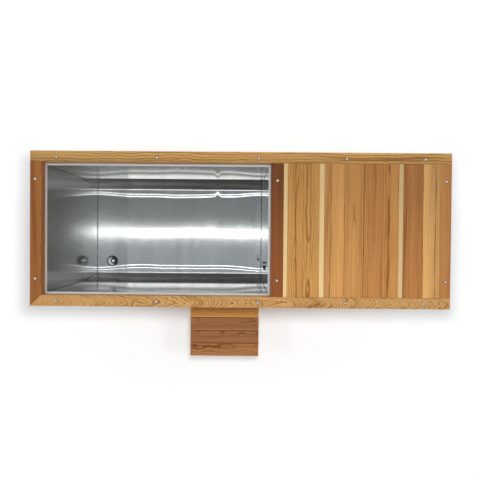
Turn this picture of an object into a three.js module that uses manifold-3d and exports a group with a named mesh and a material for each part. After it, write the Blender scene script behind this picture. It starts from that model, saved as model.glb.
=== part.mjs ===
// A cold plunge tub: an insulated stainless basin in a timber-clad cabinet, a lift-out deck over the
// equipment bay at its right end and a step in front. Millimetres, +Z up, +X along the cabinet, the step
// towards -Y. The origin is on the ground, in the middle of the whole outline.

import * as THREE from "three";
import { mergeVertices } from "three/addons/utils/BufferGeometryUtils.js";
import Module from "manifold-3d";

const wasm = await Module();
wasm.setup();

// Driving dimensions: general
const SEAT_GAP = 0.3; // between two pieces that bear on each other
const HOLE_CLEARANCE = 0.8; // a hole's radius past what goes through it
const CUT_PAST = 2; // how far a cutting form runs past the face that it cuts
const SMALL_EASE = 2; // chamfer on small turned pieces
const ROUND_SIDES = 24; // facets of the larger turned pieces
const PIPE_SIDES = 12; // facets of pipes and small turned pieces

// Driving dimensions: basin, measured inside
const BASIN_LENGTH = 1288;
const BASIN_WIDTH = 736;
const BASIN_DEPTH = 650;
const BASIN_UPRIGHT = 410; // drop of the long walls before they lean in
const BASIN_LEAN = 38; // how far each long wall has leaned in at the floor
const SHEET = 3;
const FLANGE_WIDTH = 32;
const FLANGE_SHOW = 14; // strip of flange left bare inside the rails

// Driving dimensions: top rails, hatch and cladding
const RAIL_WIDTH = 62;
const CROSS_RAIL_WIDTH = 68;
const RAIL_THICKNESS = 38;
const RAIL_OVERHANG = 12; // past the cladding
const HATCH_BOARD_WIDTHS = [112, 121, 114, 110, 111, 113, 113, 98]; // from the basin to the right end
const HATCH_CLEARANCE = 1.5;
const BOARD_GAP = 0.8;
const BOARD_EASE = 1.2; // eased edge of a hatch board
const RAIL_EASE = 2; // eased edge of a rail or tread
const BATTEN_WIDTH = 45;
const BATTEN_THICKNESS = 32;
const CLAD_THICKNESS = 18;
const CLAD_BOARD_WIDTH = 113;
const CLAD_GROUND_GAP = 12;
const GROOVE_WIDTH = 6;
const GROOVE_DEPTH = 4;
const VENT_SLOTS = 9;
const VENT_WIDTH = 300;
const VENT_HEIGHT = 12;
const VENT_PITCH = 30;

// Driving dimensions: frame and insulation
const SKID_HEIGHT = 89;
const SKID_WIDTH = 38;
const SKID_INSET = 103.7; // middle of each skid from the frame's side
const SKID_SETBACK = 40; // skid end from the frame's end
const DECK_THICKNESS = 18;
const FLOOR_FOAM = 24;
const PLATE_THICKNESS = 38;
const BULKHEAD_THICKNESS = 18;
const BASIN_CLEARANCE = 1;

// Driving dimensions: step
const STEP_HEIGHT = 400;
const STEP_WIDTH = 480;
const STEP_CENTRE_X = -105;
const STEP_BACK_BOARD_WIDTH = 175;
const STEP_BOARD_WIDTH = 87;
const STEP_FRONT_BOARDS = 3;
const STEP_BOARD_GAP = 4;
const STEP_BOARD_THICKNESS = 38;
const STEP_SIDE_THICKNESS = 30;
const STEP_SIDE_INSET = 22;
const STEP_RISER_THICKNESS = 20;
const STEP_RISER_INSET = 24;
const STEP_RISER_GROUND_GAP = 20;

// Driving dimensions: drain
const DRAIN_FROM_END = 118;
const DRAIN_FROM_SIDE = 131;
const DRAIN_FLANGE_RADIUS = 42;
const DRAIN_FLANGE_THICKNESS = 3;
const DRAIN_BODY_RADIUS = 32;
const DRAIN_BOWL_RADIUS = 28;
const DRAIN_BOWL_DEPTH = 26;
const DRAIN_MOUTH_EASE = 3; // flare of the bowl's mouth
const DRAIN_TAIL_RADIUS = 18;
const DRAIN_BORE_RADIUS = 13;
const DRAIN_TAIL_DROP = 12; // tail below the base deck
const NUT_THICKNESS = 10;
const NUT_RIM = 13; // ring width of the drain's locknut
const NUT_ROOM = 4; // space round the drain's locknut
const STOPPER_CLEARANCE = 4;
const STOPPER_THICKNESS = 3;
const KNOB_STEM_RADIUS = 5;
const KNOB_STEM_HEIGHT = 8;
const KNOB_RADIUS = 12;
const KNOB_HEIGHT = 5;

// Driving dimensions: wall fittings
const RETURN_FROM_SIDE = 127;
const RETURN_DROP = 265; // below the rim
const PROBE_FROM_SIDE = 158;
const FITTING_FLANGE_RADIUS = 15;
const FITTING_FLANGE_DEPTH = 10;
const FITTING_TAIL_RADIUS = 12;
const FITTING_TAIL_REACH = 30; // past the bulkhead
const FITTING_BORE_RADIUS = 7;
const EYEBALL_RADIUS = 10;
const EYEBALL_REACH = 3.5; // its centre in front of the wall
const EYEBALL_CLEARANCE = 0.6;
const EYEBALL_BORE_RADIUS = 4.5;
const CUP_STEPS = 6; // facets along the eyeball's cup
const BALL_STEPS = 8; // facets along the eyeball
const PROBE_RADIUS = 5;
const PROBE_REACH = 14;
const PROBE_FLANGE_RADIUS = 8;
const PROBE_FLANGE_DEPTH = 5;
const PROBE_TAIL_REACH = 8; // past the bulkhead

// Driving dimensions: pipes and drain valve
const PIPE_RADIUS = 21;
const PIPE_BORE = 17;
const RETURN_PIPE_RADIUS = 13.5;
const RETURN_PIPE_BORE = 10;
const SOCKET_GROWTH = 5; // a fitting's wall outside its pipe
const SOCKET_LENGTH = 45;
const ELBOW_STEPS = 5; // facets along an elbow
const SHORT_LEG_SHARE = 0.8; // most of a short leg that an elbow may take
const PIPE_ENTRY_SHARE = 0.6; // of an elbow's reach, where its pipe stops
const RISER_REACH = 90; // suction riser from the bulkhead
const TEE_HEIGHT = 60; // above the base deck
const VALVE_BODY_LENGTH = 150; // inlet to the inside of the cladding
const VALVE_SOCKET_GROWTH = 3;
const VALVE_SOCKET_LENGTH = 22;
const VALVE_HOUSING_GROWTH = 10;
const VALVE_HOUSING_LENGTH = 45;
const VALVE_SHOULDER = 12;
const VALVE_STEM_REACH = 63; // stem from the valve's inlet
const VALVE_STEM_RADIUS = 9;
const VALVE_STEM_RISE = 8; // above the housing
const SPIGOT_RADIUS = 15;
const SPIGOT_BORE = 11;
const SPIGOT_LENGTH = 20; // inside the cladding
const SPIGOT_REACH = 25; // past the cladding
const LEVER_LENGTH = 75;
const LEVER_WIDTH = 16;
const LEVER_THICKNESS = 5;
const LEVER_RISE = 5; // above the stem
const LEVER_HUB_RADIUS = 13;
const LEVER_HUB_HEIGHT = 13;

// Driving dimensions: pump
const PUMP_Y = -110;
const PUMP_AXIS_HEIGHT = 130;
const PUMP_INLET_REACH = 70; // volute from the riser
const PUMP_PORT_GROWTH = 3;
const PUMP_MOUTH_DEPTH = 30;
const VOLUTE_RADIUS = 85;
const VOLUTE_LENGTH = 92;
const VOLUTE_NECK = 30; // inlet neck in front of the bowl
const VOLUTE_FLOOR = 26; // depth of the inlet's bore
const VOLUTE_EASE = 6;
const PUMP_OUTLET_HEIGHT = 110; // above the pump's axis
const MOTOR_RADIUS = 70;
const MOTOR_LENGTH = 180;
const MOTOR_NOSE_RADIUS = 49;
const MOTOR_NOSE_LENGTH = 10;
const MOTOR_TAIL_RADIUS = 60;
const MOTOR_FINS = 5;
const MOTOR_FIN_PITCH = 29;
const MOTOR_FIN_WIDTH = 15;
const MOTOR_FIN_DEPTH = 4;
const MOTOR_FOOT_SETBACK = 54;
const MOTOR_FOOT_LENGTH = 80;
const MOTOR_FOOT_WIDTH = 110;
const MOTOR_FOOT_SINK = 42; // foot's top below the axis
const TERMINAL_BOX_WIDTH = 70;
const TERMINAL_BOX_RISE = 22; // above the motor

// Driving dimensions: filter
const FILTER_X_FROM_CHILLER = 130;
const FILTER_Y = 150;
const FILTER_RADIUS = 100;
const FILTER_WALL = 6;
const FILTER_FLOOR = 10;
const FILTER_EASE = 8;
const FILTER_HEIGHT = 400;
const FILTER_PORT_DROP = 70; // inlet below the rim
const FILTER_OUTLET_HEIGHT = 220;
const FILTER_STUB_LENGTH = 22.5; // inlet stub outside the canister
const CARTRIDGE_RADIUS = 72;
const CARTRIDGE_CORE_RADIUS = 25;
const CARTRIDGE_PLEATS = 24;
const CARTRIDGE_PLEAT_DEPTH = 10;
const CARTRIDGE_HEADROOM = 40; // below the canister's rim
const LID_HEIGHT = 20;
const LID_SKIRT = 24;
const LID_CLEARANCE = 1.4;
const LID_WALL = 7;
const LID_EASE = 6;
const LID_LUGS = 6;
const LUG_WIDTH = 22;
const LUG_REACH = 9; // outside the lid
const LUG_SETBACK = 8; // below the lid's top

// Driving dimensions: chiller
const CHILLER_LENGTH = 430;
const CHILLER_WIDTH = 560;
const CHILLER_HEIGHT = 480;
const CHILLER_WALL = 4;
const CHILLER_END_GAP = 40;
const CHILLER_SLOTS = 6;
const CHILLER_SLOT_WIDTH = 150;
const CHILLER_SLOT_HEIGHT = 10;
const CHILLER_SLOT_PITCH = 24;
const CHILLER_SLOT_DROP = 60; // top slot below the casing's top
const FAN_RADIUS = 138;
const FAN_HOLE_RADIUS = 150;
const FAN_HEIGHT = 240;
const FAN_DEPTH = 36;
const FAN_HUB_RADIUS = 30;
const FAN_BLADES = 5;
const FAN_BLADE_ROOT = 24; // blade's inner end from the axis
const FAN_BLADE_CHORD = 57;
const FAN_BLADE_THICKNESS = 3;
const FAN_BLADE_ANGLE = 0.55;
const FAN_SETBACK = 14; // fan behind the casing's face
const FAN_MOTOR_RADIUS = 38;
const FAN_MOTOR_LENGTH = 84;
const FAN_SHAFT_RADIUS = 8;
const FAN_SHAFT_LENGTH = 6;
const FAN_BRACKET_SETBACK = 40; // bracket from the fan
const FAN_BRACKET_LENGTH = 30;
const FAN_BRACKET_WIDTH = 60;
const FAN_SOLE_SETBACK = 10;
const FAN_SOLE_LENGTH = 90;
const FAN_SOLE_WIDTH = 120;
const FAN_SOLE_THICKNESS = 5;
const BUTTON_RADIUS = 11;
const BUTTON_PROUD = 4;
const BUTTON_COLLAR = 3; // width and thickness of the collar inside the casing
const BUTTON_EASE = 1;
const BUTTON_FROM_EDGE = 60;

// Levels
const zDeckBottom = SKID_HEIGHT + SEAT_GAP;
const zDeckTop = zDeckBottom + DECK_THICKNESS;
const zOnDeck = zDeckTop + SEAT_GAP;
const zBasinBottom = zOnDeck + FLOOR_FOAM + SEAT_GAP;
const zFloor = zBasinBottom + SHEET;
const zKink = zFloor + BASIN_DEPTH - BASIN_UPRIGHT;
const zFlangeTop = zFloor + BASIN_DEPTH;
const zFlangeBottom = zFlangeTop - SHEET;
const zPlateTop = zFlangeBottom - SEAT_GAP;
const zPlateBottom = zPlateTop - PLATE_THICKNESS;
const zRailBottom = zFlangeTop + SEAT_GAP;
const zRailTop = zRailBottom + RAIL_THICKNESS;
const zHatchBottom = zPlateTop + SEAT_GAP;

// Plan, measured from the cabinet's middle
const hatchLength = HATCH_BOARD_WIDTHS.reduce((sum, width) => sum + width, 0);
const basinBay = BASIN_LENGTH + 2 * FLANGE_SHOW;
const cabinetLength = 2 * RAIL_WIDTH + basinBay + CROSS_RAIL_WIDTH + hatchLength;
const cabinetWidth = 2 * (RAIL_WIDTH + FLANGE_SHOW) + BASIN_WIDTH;
const xRight = cabinetLength / 2;
const xLeft = -xRight;
const xBasinLeft = xLeft + RAIL_WIDTH + FLANGE_SHOW;
const xBasinRight = xBasinLeft + BASIN_LENGTH;
const xCrossLeft = xBasinRight + FLANGE_SHOW;
const xCrossRight = xCrossLeft + CROSS_RAIL_WIDTH;
const xHatchRight = xCrossRight + hatchLength;
const yBasin = BASIN_WIDTH / 2;
const yBack = cabinetWidth / 2;
const yRailInner = yBack - RAIL_WIDTH;
const xCladOuter = xRight - RAIL_OVERHANG;
const xCladInner = xCladOuter - CLAD_THICKNESS;
const yCladOuter = yBack - RAIL_OVERHANG;
const yCladInner = yCladOuter - CLAD_THICKNESS;
const xFrame = xCladInner - SEAT_GAP;
const yFrame = yCladInner - SEAT_GAP;
const plateWidth = yFrame - yBasin - SHEET - BASIN_CLEARANCE;
const xPlateRight = xFrame - plateWidth;
const yPlate = yFrame - plateWidth;
const xBulkheadLeft = xBasinRight + FLANGE_WIDTH + SEAT_GAP;
const xBulkheadRight = xBulkheadLeft + BULKHEAD_THICKNESS;
const stepDepth = STEP_BACK_BOARD_WIDTH + STEP_FRONT_BOARDS * (STEP_BOARD_WIDTH + STEP_BOARD_GAP);
const yStepBack = -yCladOuter - SEAT_GAP;
const yCabinet = (stepDepth + SEAT_GAP - RAIL_OVERHANG) / 2; // centres the outline on the origin

// Places of the fittings and the equipment
const drainX = xBasinLeft + DRAIN_FROM_END;
const drainY = -yBasin + DRAIN_FROM_SIDE;
const zDrainSeat = zFloor + SEAT_GAP;
const zBowlFloor = zFloor - DRAIN_BOWL_DEPTH;
const zTail = zDeckBottom - DRAIN_TAIL_DROP;
const returnY = -yBasin + RETURN_FROM_SIDE;
const returnZ = zFlangeTop - RETURN_DROP;
const probeY = -yBasin + PROBE_FROM_SIDE;
const fittingTail = xBulkheadRight + FITTING_TAIL_REACH - xBasinRight;
const drainNutRadius = DRAIN_BODY_RADIUS + NUT_RIM;
const zPipe = SKID_HEIGHT / 2;
const xRiser = xBulkheadRight + RISER_REACH;
const zTee = zDeckTop + TEE_HEIGHT;
const zPump = zDeckTop + PUMP_AXIS_HEIGHT;
const xVolute = xRiser + PUMP_INLET_REACH;
const xVoluteMiddle = xVolute + (VOLUTE_NECK + VOLUTE_LENGTH) / 2;
const xChillerRight = xFrame - CHILLER_END_GAP;
const xChillerLeft = xChillerRight - CHILLER_LENGTH;
const filterX = xChillerLeft - FILTER_X_FROM_CHILLER;
const zFilterRim = zOnDeck + FILTER_HEIGHT;
const zFilterPort = zFilterRim - FILTER_PORT_DROP;
const valveInletY = -yCladInner + VALVE_BODY_LENGTH;
const fanZ = zDeckTop + FAN_HEIGHT;
const xFanBack = xChillerRight - CHILLER_WALL - FAN_SETBACK - FAN_DEPTH;
const zChillerTop = zOnDeck + CHILLER_HEIGHT;
const buttonX = xChillerLeft + BUTTON_FROM_EDGE;
const buttonY = -CHILLER_WIDTH / 2 + BUTTON_FROM_EDGE;
const AXIS_X = new THREE.Vector3(1, 0, 0);
const AXIS_Y = new THREE.Vector3(0, 1, 0);
const AXIS_Z = new THREE.Vector3(0, 0, 1);

function standard(color, roughness, metalness) {
  return new THREE.MeshStandardMaterial({ color, roughness, metalness });
}

const redwood = standard(0xb98350, 0.55, 0);
const darkRedwood = standard(0x7a4a2b, 0.55, 0);
const framing = standard(0xc9ab7c, 0.75, 0);
const plywood = standard(0xbfa077, 0.8, 0);
const stainless = standard(0xb9bcbd, 0.28, 1);
const chrome = standard(0xd8dadc, 0.12, 1);
const brass = standard(0xb08d4a, 0.35, 1);
const foam = standard(0xe6dcb4, 0.95, 0);
const whitePipe = standard(0xe9e9e6, 0.45, 0);
const blackPlastic = standard(0x222325, 0.5, 0);
const bluePlastic = standard(0x2f5f94, 0.4, 0);
const paper = standard(0xeceff2, 0.9, 0);
const greyPaint = standard(0x8d9296, 0.5, 0.2);
const redPlastic = standard(0xb3302a, 0.4, 0);

function named(name, geometry, material) {
  const mesh = new THREE.Mesh(geometry, material);
  mesh.name = name;
  return mesh;
}

function groupOf(...pieces) {
  const group = new THREE.Group();
  group.add(...pieces);
  return group;
}

// A closed geometry as a solid that can be joined and cut.
function solidOf(geometry) {
  const bare = geometry.clone();
  bare.deleteAttribute("normal");
  bare.deleteAttribute("uv");
  const welded = mergeVertices(bare, 1e-3);
  const mesh = new wasm.Mesh({
    numProp: 3,
    vertProperties: welded.attributes.position.array,
    triVerts: new Uint32Array(welded.index.array),
  });
  return new wasm.Manifold(mesh);
}

// The geometry of a solid, with flat-shaded faces.
function geometryOf(solid) {
  const mesh = solid.getMesh();
  const geometry = new THREE.BufferGeometry();
  geometry.setAttribute("position", new THREE.BufferAttribute(mesh.vertProperties, 3));
  geometry.setIndex(new THREE.BufferAttribute(mesh.triVerts, 1));
  geometry.computeVertexNormals();
  return geometry;
}

function joined(solids) {
  return solids.reduce((whole, next) => whole.add(next));
}

function boxGeometry([x0, x1], [y0, y1], [z0, z1]) {
  const box = new THREE.BoxGeometry(x1 - x0, y1 - y0, z1 - z0);
  return box.translate((x0 + x1) / 2, (y0 + y1) / 2, (z0 + z1) / 2);
}

function boxSolid(xs, ys, zs) {
  return solidOf(boxGeometry(xs, ys, zs));
}

// A box mesh placed by its position.
function block(name, material, [x0, x1], [y0, y1], [z0, z1]) {
  const mesh = named(name, new THREE.BoxGeometry(x1 - x0, y1 - y0, z1 - z0), material);
  mesh.position.set((x0 + x1) / 2, (y0 + y1) / 2, (z0 + z1) / 2);
  return mesh;
}

function shapeOf(points) {
  return new THREE.Shape(points.map(([x, y]) => new THREE.Vector2(x, y)));
}

function extrudedUp(points, z0, z1) {
  const geometry = new THREE.ExtrudeGeometry(shapeOf(points), { depth: z1 - z0, bevelEnabled: false });
  return geometry.translate(0, 0, z0);
}

// Points are (y, z); the extrusion runs along X.
function extrudedAlong(points, x0, x1) {
  const geometry = new THREE.ExtrudeGeometry(shapeOf(points), { depth: x1 - x0, bevelEnabled: false });
  const basis = new THREE.Matrix4().makeBasis(AXIS_Y, AXIS_Z, AXIS_X);
  return geometry.applyMatrix4(basis).translate(x0, 0, 0);
}

// A board of any plan outline with its top and bottom edges eased.
function easedBoard(points, z0, z1, ease) {
  const geometry = new THREE.ExtrudeGeometry(shapeOf(points), {
    depth: z1 - z0 - 2 * ease,
    bevelSize: ease,
    bevelThickness: ease,
    bevelOffset: -ease,
    bevelSegments: 1,
  });
  return geometry.translate(0, 0, z0 + ease);
}

function rectangle([x0, x1], [y0, y1]) {
  return [[x0, y0], [x1, y0], [x1, y1], [x0, y1]];
}

// A profile of (radius, height) turned about an axis through the given point; heights run along the axis.
function turned(profile, sides, axis, [x, y, z]) {
  const points = profile.map(([radius, height]) => new THREE.Vector2(radius, height));
  const geometry = new THREE.LatheGeometry(points, sides);
  const turn = new THREE.Quaternion().setFromUnitVectors(AXIS_Y, axis);
  return geometry.applyQuaternion(turn).translate(x, y, z);
}

function ring(inner, outer, z0, z1) {
  return [[inner, z0], [outer, z0], [outer, z1], [inner, z1], [inner, z0]];
}

function rod(radius, from, to, sides = PIPE_SIDES) {
  const start = new THREE.Vector3(...from);
  const end = new THREE.Vector3(...to);
  const along = end.clone().sub(start);
  const cylinder = new THREE.CylinderGeometry(radius, radius, along.length(), sides);
  const turn = new THREE.Quaternion().setFromUnitVectors(AXIS_Y, along.normalize());
  const middle = start.add(end).multiplyScalar(0.5);
  return solidOf(cylinder.applyQuaternion(turn).translate(middle.x, middle.y, middle.z));
}

// A point a given way from one corner of a pipe run towards the next.
function towards(from, to, distance) {
  const start = new THREE.Vector3(...from);
  const way = new THREE.Vector3(...to).sub(start).normalize();
  return start.addScaledVector(way, distance).toArray();
}

// How far an elbow reaches from its corner along one leg: a full socket, or less where the leg is short.
function elbowReach(corner, other) {
  const leg = new THREE.Vector3(...corner).distanceTo(new THREE.Vector3(...other));
  return Math.min(SOCKET_LENGTH, SHORT_LEG_SHARE * leg);
}

// A swept elbow fitting round one corner of a pipe run.
function elbow(radius, before, corner, after) {
  const start = new THREE.Vector3(...towards(corner, before, elbowReach(corner, before)));
  const end = new THREE.Vector3(...towards(corner, after, elbowReach(corner, after)));
  const bend = new THREE.QuadraticBezierCurve3(start, new THREE.Vector3(...corner), end);
  const section = new THREE.Shape().absarc(0, 0, radius, 0, 2 * Math.PI);
  const options = { extrudePath: bend, steps: ELBOW_STEPS, curveSegments: PIPE_SIDES / 2 };
  return solidOf(new THREE.ExtrudeGeometry(section, options));
}

// The outside of a pipe run: straight lengths that stop inside the elbows at its corners.
function runSolids(points, radius, growth) {
  const solids = [];
  const last = points.length - 1;
  for (let i = 0; i < last; i += 1) {
    const inset = PIPE_ENTRY_SHARE * elbowReach(points[i], points[i + 1]);
    const start = i === 0 ? points[0] : towards(points[i], points[i + 1], inset);
    const end = i + 1 === last ? points[last] : towards(points[i + 1], points[i], inset);
    solids.push(rod(radius, start, end));
  }
  for (let i = 1; i < last; i += 1) {
    solids.push(elbow(radius + growth, points[i - 1], points[i], points[i + 1]));
  }
  return solids;
}

// The bore of a pipe run, open at both ends.
function boreSolids(points, radius) {
  const solids = [];
  const last = points.length - 1;
  for (let i = 0; i < last; i += 1) {
    const start = i === 0 ? towards(points[0], points[1], -CUT_PAST) : points[i];
    const end = i + 1 === last ? towards(points[last], points[last - 1], -CUT_PAST) : points[i + 1];
    solids.push(rod(radius, start, end));
  }
  for (let i = 1; i < last; i += 1) {
    const ball = new THREE.SphereGeometry(radius, PIPE_SIDES, PIPE_SIDES / 2);
    solids.push(solidOf(ball.translate(...points[i])));
  }
  return solids;
}

function pipe(name, runs, radius, bore) {
  const outside = joined(runs.flatMap((points) => runSolids(points, radius, SOCKET_GROWTH)));
  const inside = joined(runs.flatMap((points) => boreSolids(points, bore)));
  return named(name, geometryOf(outside.subtract(inside)), whitePipe);
}

// Basin

// The basin's form between two levels, grown outwards on its sides and ends.
function basinForm(growth, zBottom, zTop) {
  const outer = yBasin + growth;
  const foot = outer - BASIN_LEAN;
  const section = [
    [-outer, zTop],
    [-outer, zKink],
    [-foot, zBottom],
    [foot, zBottom],
    [outer, zKink],
    [outer, zTop],
  ];
  return solidOf(extrudedAlong(section, xBasinLeft - growth, xBasinRight + growth));
}

// A bore up or down through the basin's floor at the drain.
function drainBore(radius, zLow, zHigh) {
  return rod(radius, [drainX, drainY, zLow], [drainX, drainY, zHigh], ROUND_SIDES);
}

// A bore along X through the basin's right end wall, the insulation and the bulkhead.
function wallBore(radius, y) {
  const from = [xBasinRight - CUT_PAST, y, returnZ];
  const to = [xBulkheadRight + CUT_PAST, y, returnZ];
  return rod(radius, from, to, ROUND_SIDES);
}

function makeBasinShell() {
  const flangeXs = [xBasinLeft - FLANGE_WIDTH, xBasinRight + FLANGE_WIDTH];
  const flangeYs = [-yBasin - FLANGE_WIDTH, yBasin + FLANGE_WIDTH];
  const outside = basinForm(SHEET, zBasinBottom, zFlangeTop);
  const whole = outside.add(boxSolid(flangeXs, flangeYs, [zFlangeBottom, zFlangeTop]));
  const hollow = basinForm(0, zFloor, zFlangeTop + CUT_PAST);
  const drainHole = drainBore(DRAIN_BODY_RADIUS + HOLE_CLEARANCE, zTail, zFloor + CUT_PAST);
  const returnHole = wallBore(FITTING_TAIL_RADIUS + HOLE_CLEARANCE, returnY);
  const probeHole = wallBore(PROBE_RADIUS + HOLE_CLEARANCE, probeY);
  const shell = whole.subtract(hollow).subtract(drainHole).subtract(returnHole).subtract(probeHole);
  return named("basin_shell", geometryOf(shell), stainless);
}

function makeInsulation() {
  const foamXs = [-xFrame, xBulkheadLeft - SEAT_GAP];
  const foamBlock = boxSolid(foamXs, [-yFrame, yFrame], [zOnDeck, zPlateBottom - SEAT_GAP]);
  const basin = basinForm(SHEET + SEAT_GAP, zBasinBottom - SEAT_GAP, zFlangeTop);
  const postReach = plateWidth + SEAT_GAP;
  const postXs = [-xFrame - CUT_PAST, -xFrame + postReach];
  const postZs = [zDeckTop, zFlangeTop];
  const frontNotch = boxSolid(postXs, [-yFrame - CUT_PAST, -yFrame + postReach], postZs);
  const rearNotch = boxSolid(postXs, [yFrame - postReach, yFrame + CUT_PAST], postZs);
  const drainHole = drainBore(drainNutRadius + NUT_ROOM, zDeckBottom, zFloor);
  const returnHole = wallBore(FITTING_TAIL_RADIUS + HOLE_CLEARANCE, returnY);
  const probeHole = wallBore(PROBE_RADIUS + HOLE_CLEARANCE, probeY);
  const cuts = joined([basin, frontNotch, rearNotch, drainHole, returnHole, probeHole]);
  return named("insulation_jacket", geometryOf(foamBlock.subtract(cuts)), foam);
}

// Drain

function makeDrain() {
  const place = [drainX, drainY, 0];
  const zBowlBottom = zBowlFloor - (DRAIN_BODY_RADIUS - DRAIN_BOWL_RADIUS);
  const zFlange = zDrainSeat + DRAIN_FLANGE_THICKNESS;
  const body = [
    [DRAIN_BORE_RADIUS, zTail],
    [DRAIN_TAIL_RADIUS, zTail],
    [DRAIN_TAIL_RADIUS, zBowlBottom],
    [DRAIN_BODY_RADIUS, zBowlBottom],
    [DRAIN_BODY_RADIUS, zDrainSeat],
    [DRAIN_FLANGE_RADIUS, zDrainSeat],
    [DRAIN_FLANGE_RADIUS, zFlange - SMALL_EASE],
    [DRAIN_FLANGE_RADIUS - SMALL_EASE, zFlange],
    [DRAIN_BOWL_RADIUS + DRAIN_MOUTH_EASE, zFlange],
    [DRAIN_BOWL_RADIUS, zFlange - DRAIN_MOUTH_EASE],
    [DRAIN_BOWL_RADIUS, zBowlFloor],
    [DRAIN_BORE_RADIUS, zBowlFloor],
    [DRAIN_BORE_RADIUS, zTail],
  ];
  const bore = DRAIN_BODY_RADIUS + HOLE_CLEARANCE;
  const nutTop = zBasinBottom - SEAT_GAP;
  const nut = ring(bore, drainNutRadius, nutTop - NUT_THICKNESS, nutTop);
  const plateRadius = DRAIN_BOWL_RADIUS - STOPPER_CLEARANCE;
  const zPlate = zBowlFloor + SEAT_GAP;
  const zStem = zPlate + STOPPER_THICKNESS;
  const zKnob = zStem + KNOB_STEM_HEIGHT;
  const zKnobTop = zKnob + KNOB_HEIGHT;
  const stopper = [
    [0, zPlate],
    [plateRadius, zPlate],
    [plateRadius, zStem],
    [KNOB_STEM_RADIUS, zStem],
    [KNOB_STEM_RADIUS, zKnob],
    [KNOB_RADIUS, zKnob],
    [KNOB_RADIUS, zKnobTop - SMALL_EASE],
    [KNOB_RADIUS - SMALL_EASE, zKnobTop],
    [0, zKnobTop],
  ];
  return groupOf(
    named("drain_body", turned(body, ROUND_SIDES, AXIS_Z, place), chrome),
    named("drain_locknut", turned(nut, ROUND_SIDES, AXIS_Z, place), brass),
    named("drain_stopper", turned(stopper, ROUND_SIDES, AXIS_Z, place), chrome),
  );
}

// Wall fittings in the right end wall

// An arc of (radius, height) points on a sphere about a height on the axis, from one angle to another.
function sphereArc(radius, centre, from, to, steps) {
  const points = [];
  for (let i = 0; i <= steps; i += 1) {
    const angle = from + (i / steps) * (to - from);
    points.push([radius * Math.cos(angle), centre + radius * Math.sin(angle)]);
  }
  return points;
}

function makeReturnFitting() {
  const place = [xBasinRight, returnY, returnZ];
  const centre = -EYEBALL_REACH;
  const socket = EYEBALL_RADIUS + EYEBALL_CLEARANCE;
  const mouthAngle = Math.asin((-FITTING_FLANGE_DEPTH - centre) / socket);
  const boreAngle = Math.acos(FITTING_BORE_RADIUS / socket);
  const cup = sphereArc(socket, centre, boreAngle, mouthAngle, CUP_STEPS);
  const body = [
    cup[cup.length - 1],
    [FITTING_FLANGE_RADIUS - SMALL_EASE, -FITTING_FLANGE_DEPTH],
    [FITTING_FLANGE_RADIUS, -FITTING_FLANGE_DEPTH + SMALL_EASE],
    [FITTING_FLANGE_RADIUS, -SEAT_GAP],
    [FITTING_TAIL_RADIUS, -SEAT_GAP],
    [FITTING_TAIL_RADIUS, fittingTail],
    [FITTING_BORE_RADIUS, fittingTail],
    ...cup,
  ];
  const ballAngle = Math.acos(EYEBALL_BORE_RADIUS / EYEBALL_RADIUS);
  const outside = sphereArc(EYEBALL_RADIUS, centre, -ballAngle, ballAngle, BALL_STEPS);
  const ball = [...outside, outside[0]];
  return groupOf(
    named("return_fitting", turned(body, ROUND_SIDES, AXIS_X, place), blackPlastic),
    named("return_eyeball", turned(ball, ROUND_SIDES, AXIS_X, place), blackPlastic),
  );
}

function makeProbe() {
  const tail = xBulkheadRight + PROBE_TAIL_REACH - xBasinRight;
  const body = [
    [0, -PROBE_REACH],
    [PROBE_RADIUS - SMALL_EASE, -PROBE_REACH],
    [PROBE_RADIUS, -PROBE_REACH + SMALL_EASE],
    [PROBE_RADIUS, -PROBE_FLANGE_DEPTH],
    [PROBE_FLANGE_RADIUS, -PROBE_FLANGE_DEPTH],
    [PROBE_FLANGE_RADIUS, -SEAT_GAP],
    [PROBE_RADIUS, -SEAT_GAP],
    [PROBE_RADIUS, tail],
    [0, tail],
  ];
  const place = [xBasinRight, probeY, returnZ];
  return named("temperature_probe", turned(body, PIPE_SIDES, AXIS_X, place), blackPlastic);
}

// Frame

function makeBulkhead() {
  const shoulder = zPlateBottom - SEAT_GAP;
  const zTop = zRailBottom - SEAT_GAP;
  const neck = yPlate - SEAT_GAP;
  const outline = [
    [-yFrame, zOnDeck],
    [yFrame, zOnDeck],
    [yFrame, shoulder],
    [neck, shoulder],
    [neck, zTop],
    [-neck, zTop],
    [-neck, shoulder],
    [-yFrame, shoulder],
  ];
  const panel = solidOf(extrudedAlong(outline, xBulkheadLeft, xBulkheadRight));
  const returnHole = wallBore(FITTING_TAIL_RADIUS + HOLE_CLEARANCE, returnY);
  const probeHole = wallBore(PROBE_RADIUS + HOLE_CLEARANCE, probeY);
  return named("bulkhead", geometryOf(panel.subtract(returnHole).subtract(probeHole)), plywood);
}

function makeBaseDeck() {
  const panel = boxSolid([-xFrame, xFrame], [-yFrame, yFrame], [zDeckBottom, zDeckTop]);
  const drainHole = drainBore(DRAIN_BODY_RADIUS + HOLE_CLEARANCE, 0, zFloor);
  const riserRadius = PIPE_RADIUS + SOCKET_GROWTH + HOLE_CLEARANCE;
  const riserHole = rod(riserRadius, [xRiser, PUMP_Y, 0], [xRiser, PUMP_Y, zFloor], ROUND_SIDES);
  return named("base_deck", geometryOf(panel.subtract(drainHole).subtract(riserHole)), plywood);
}

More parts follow.
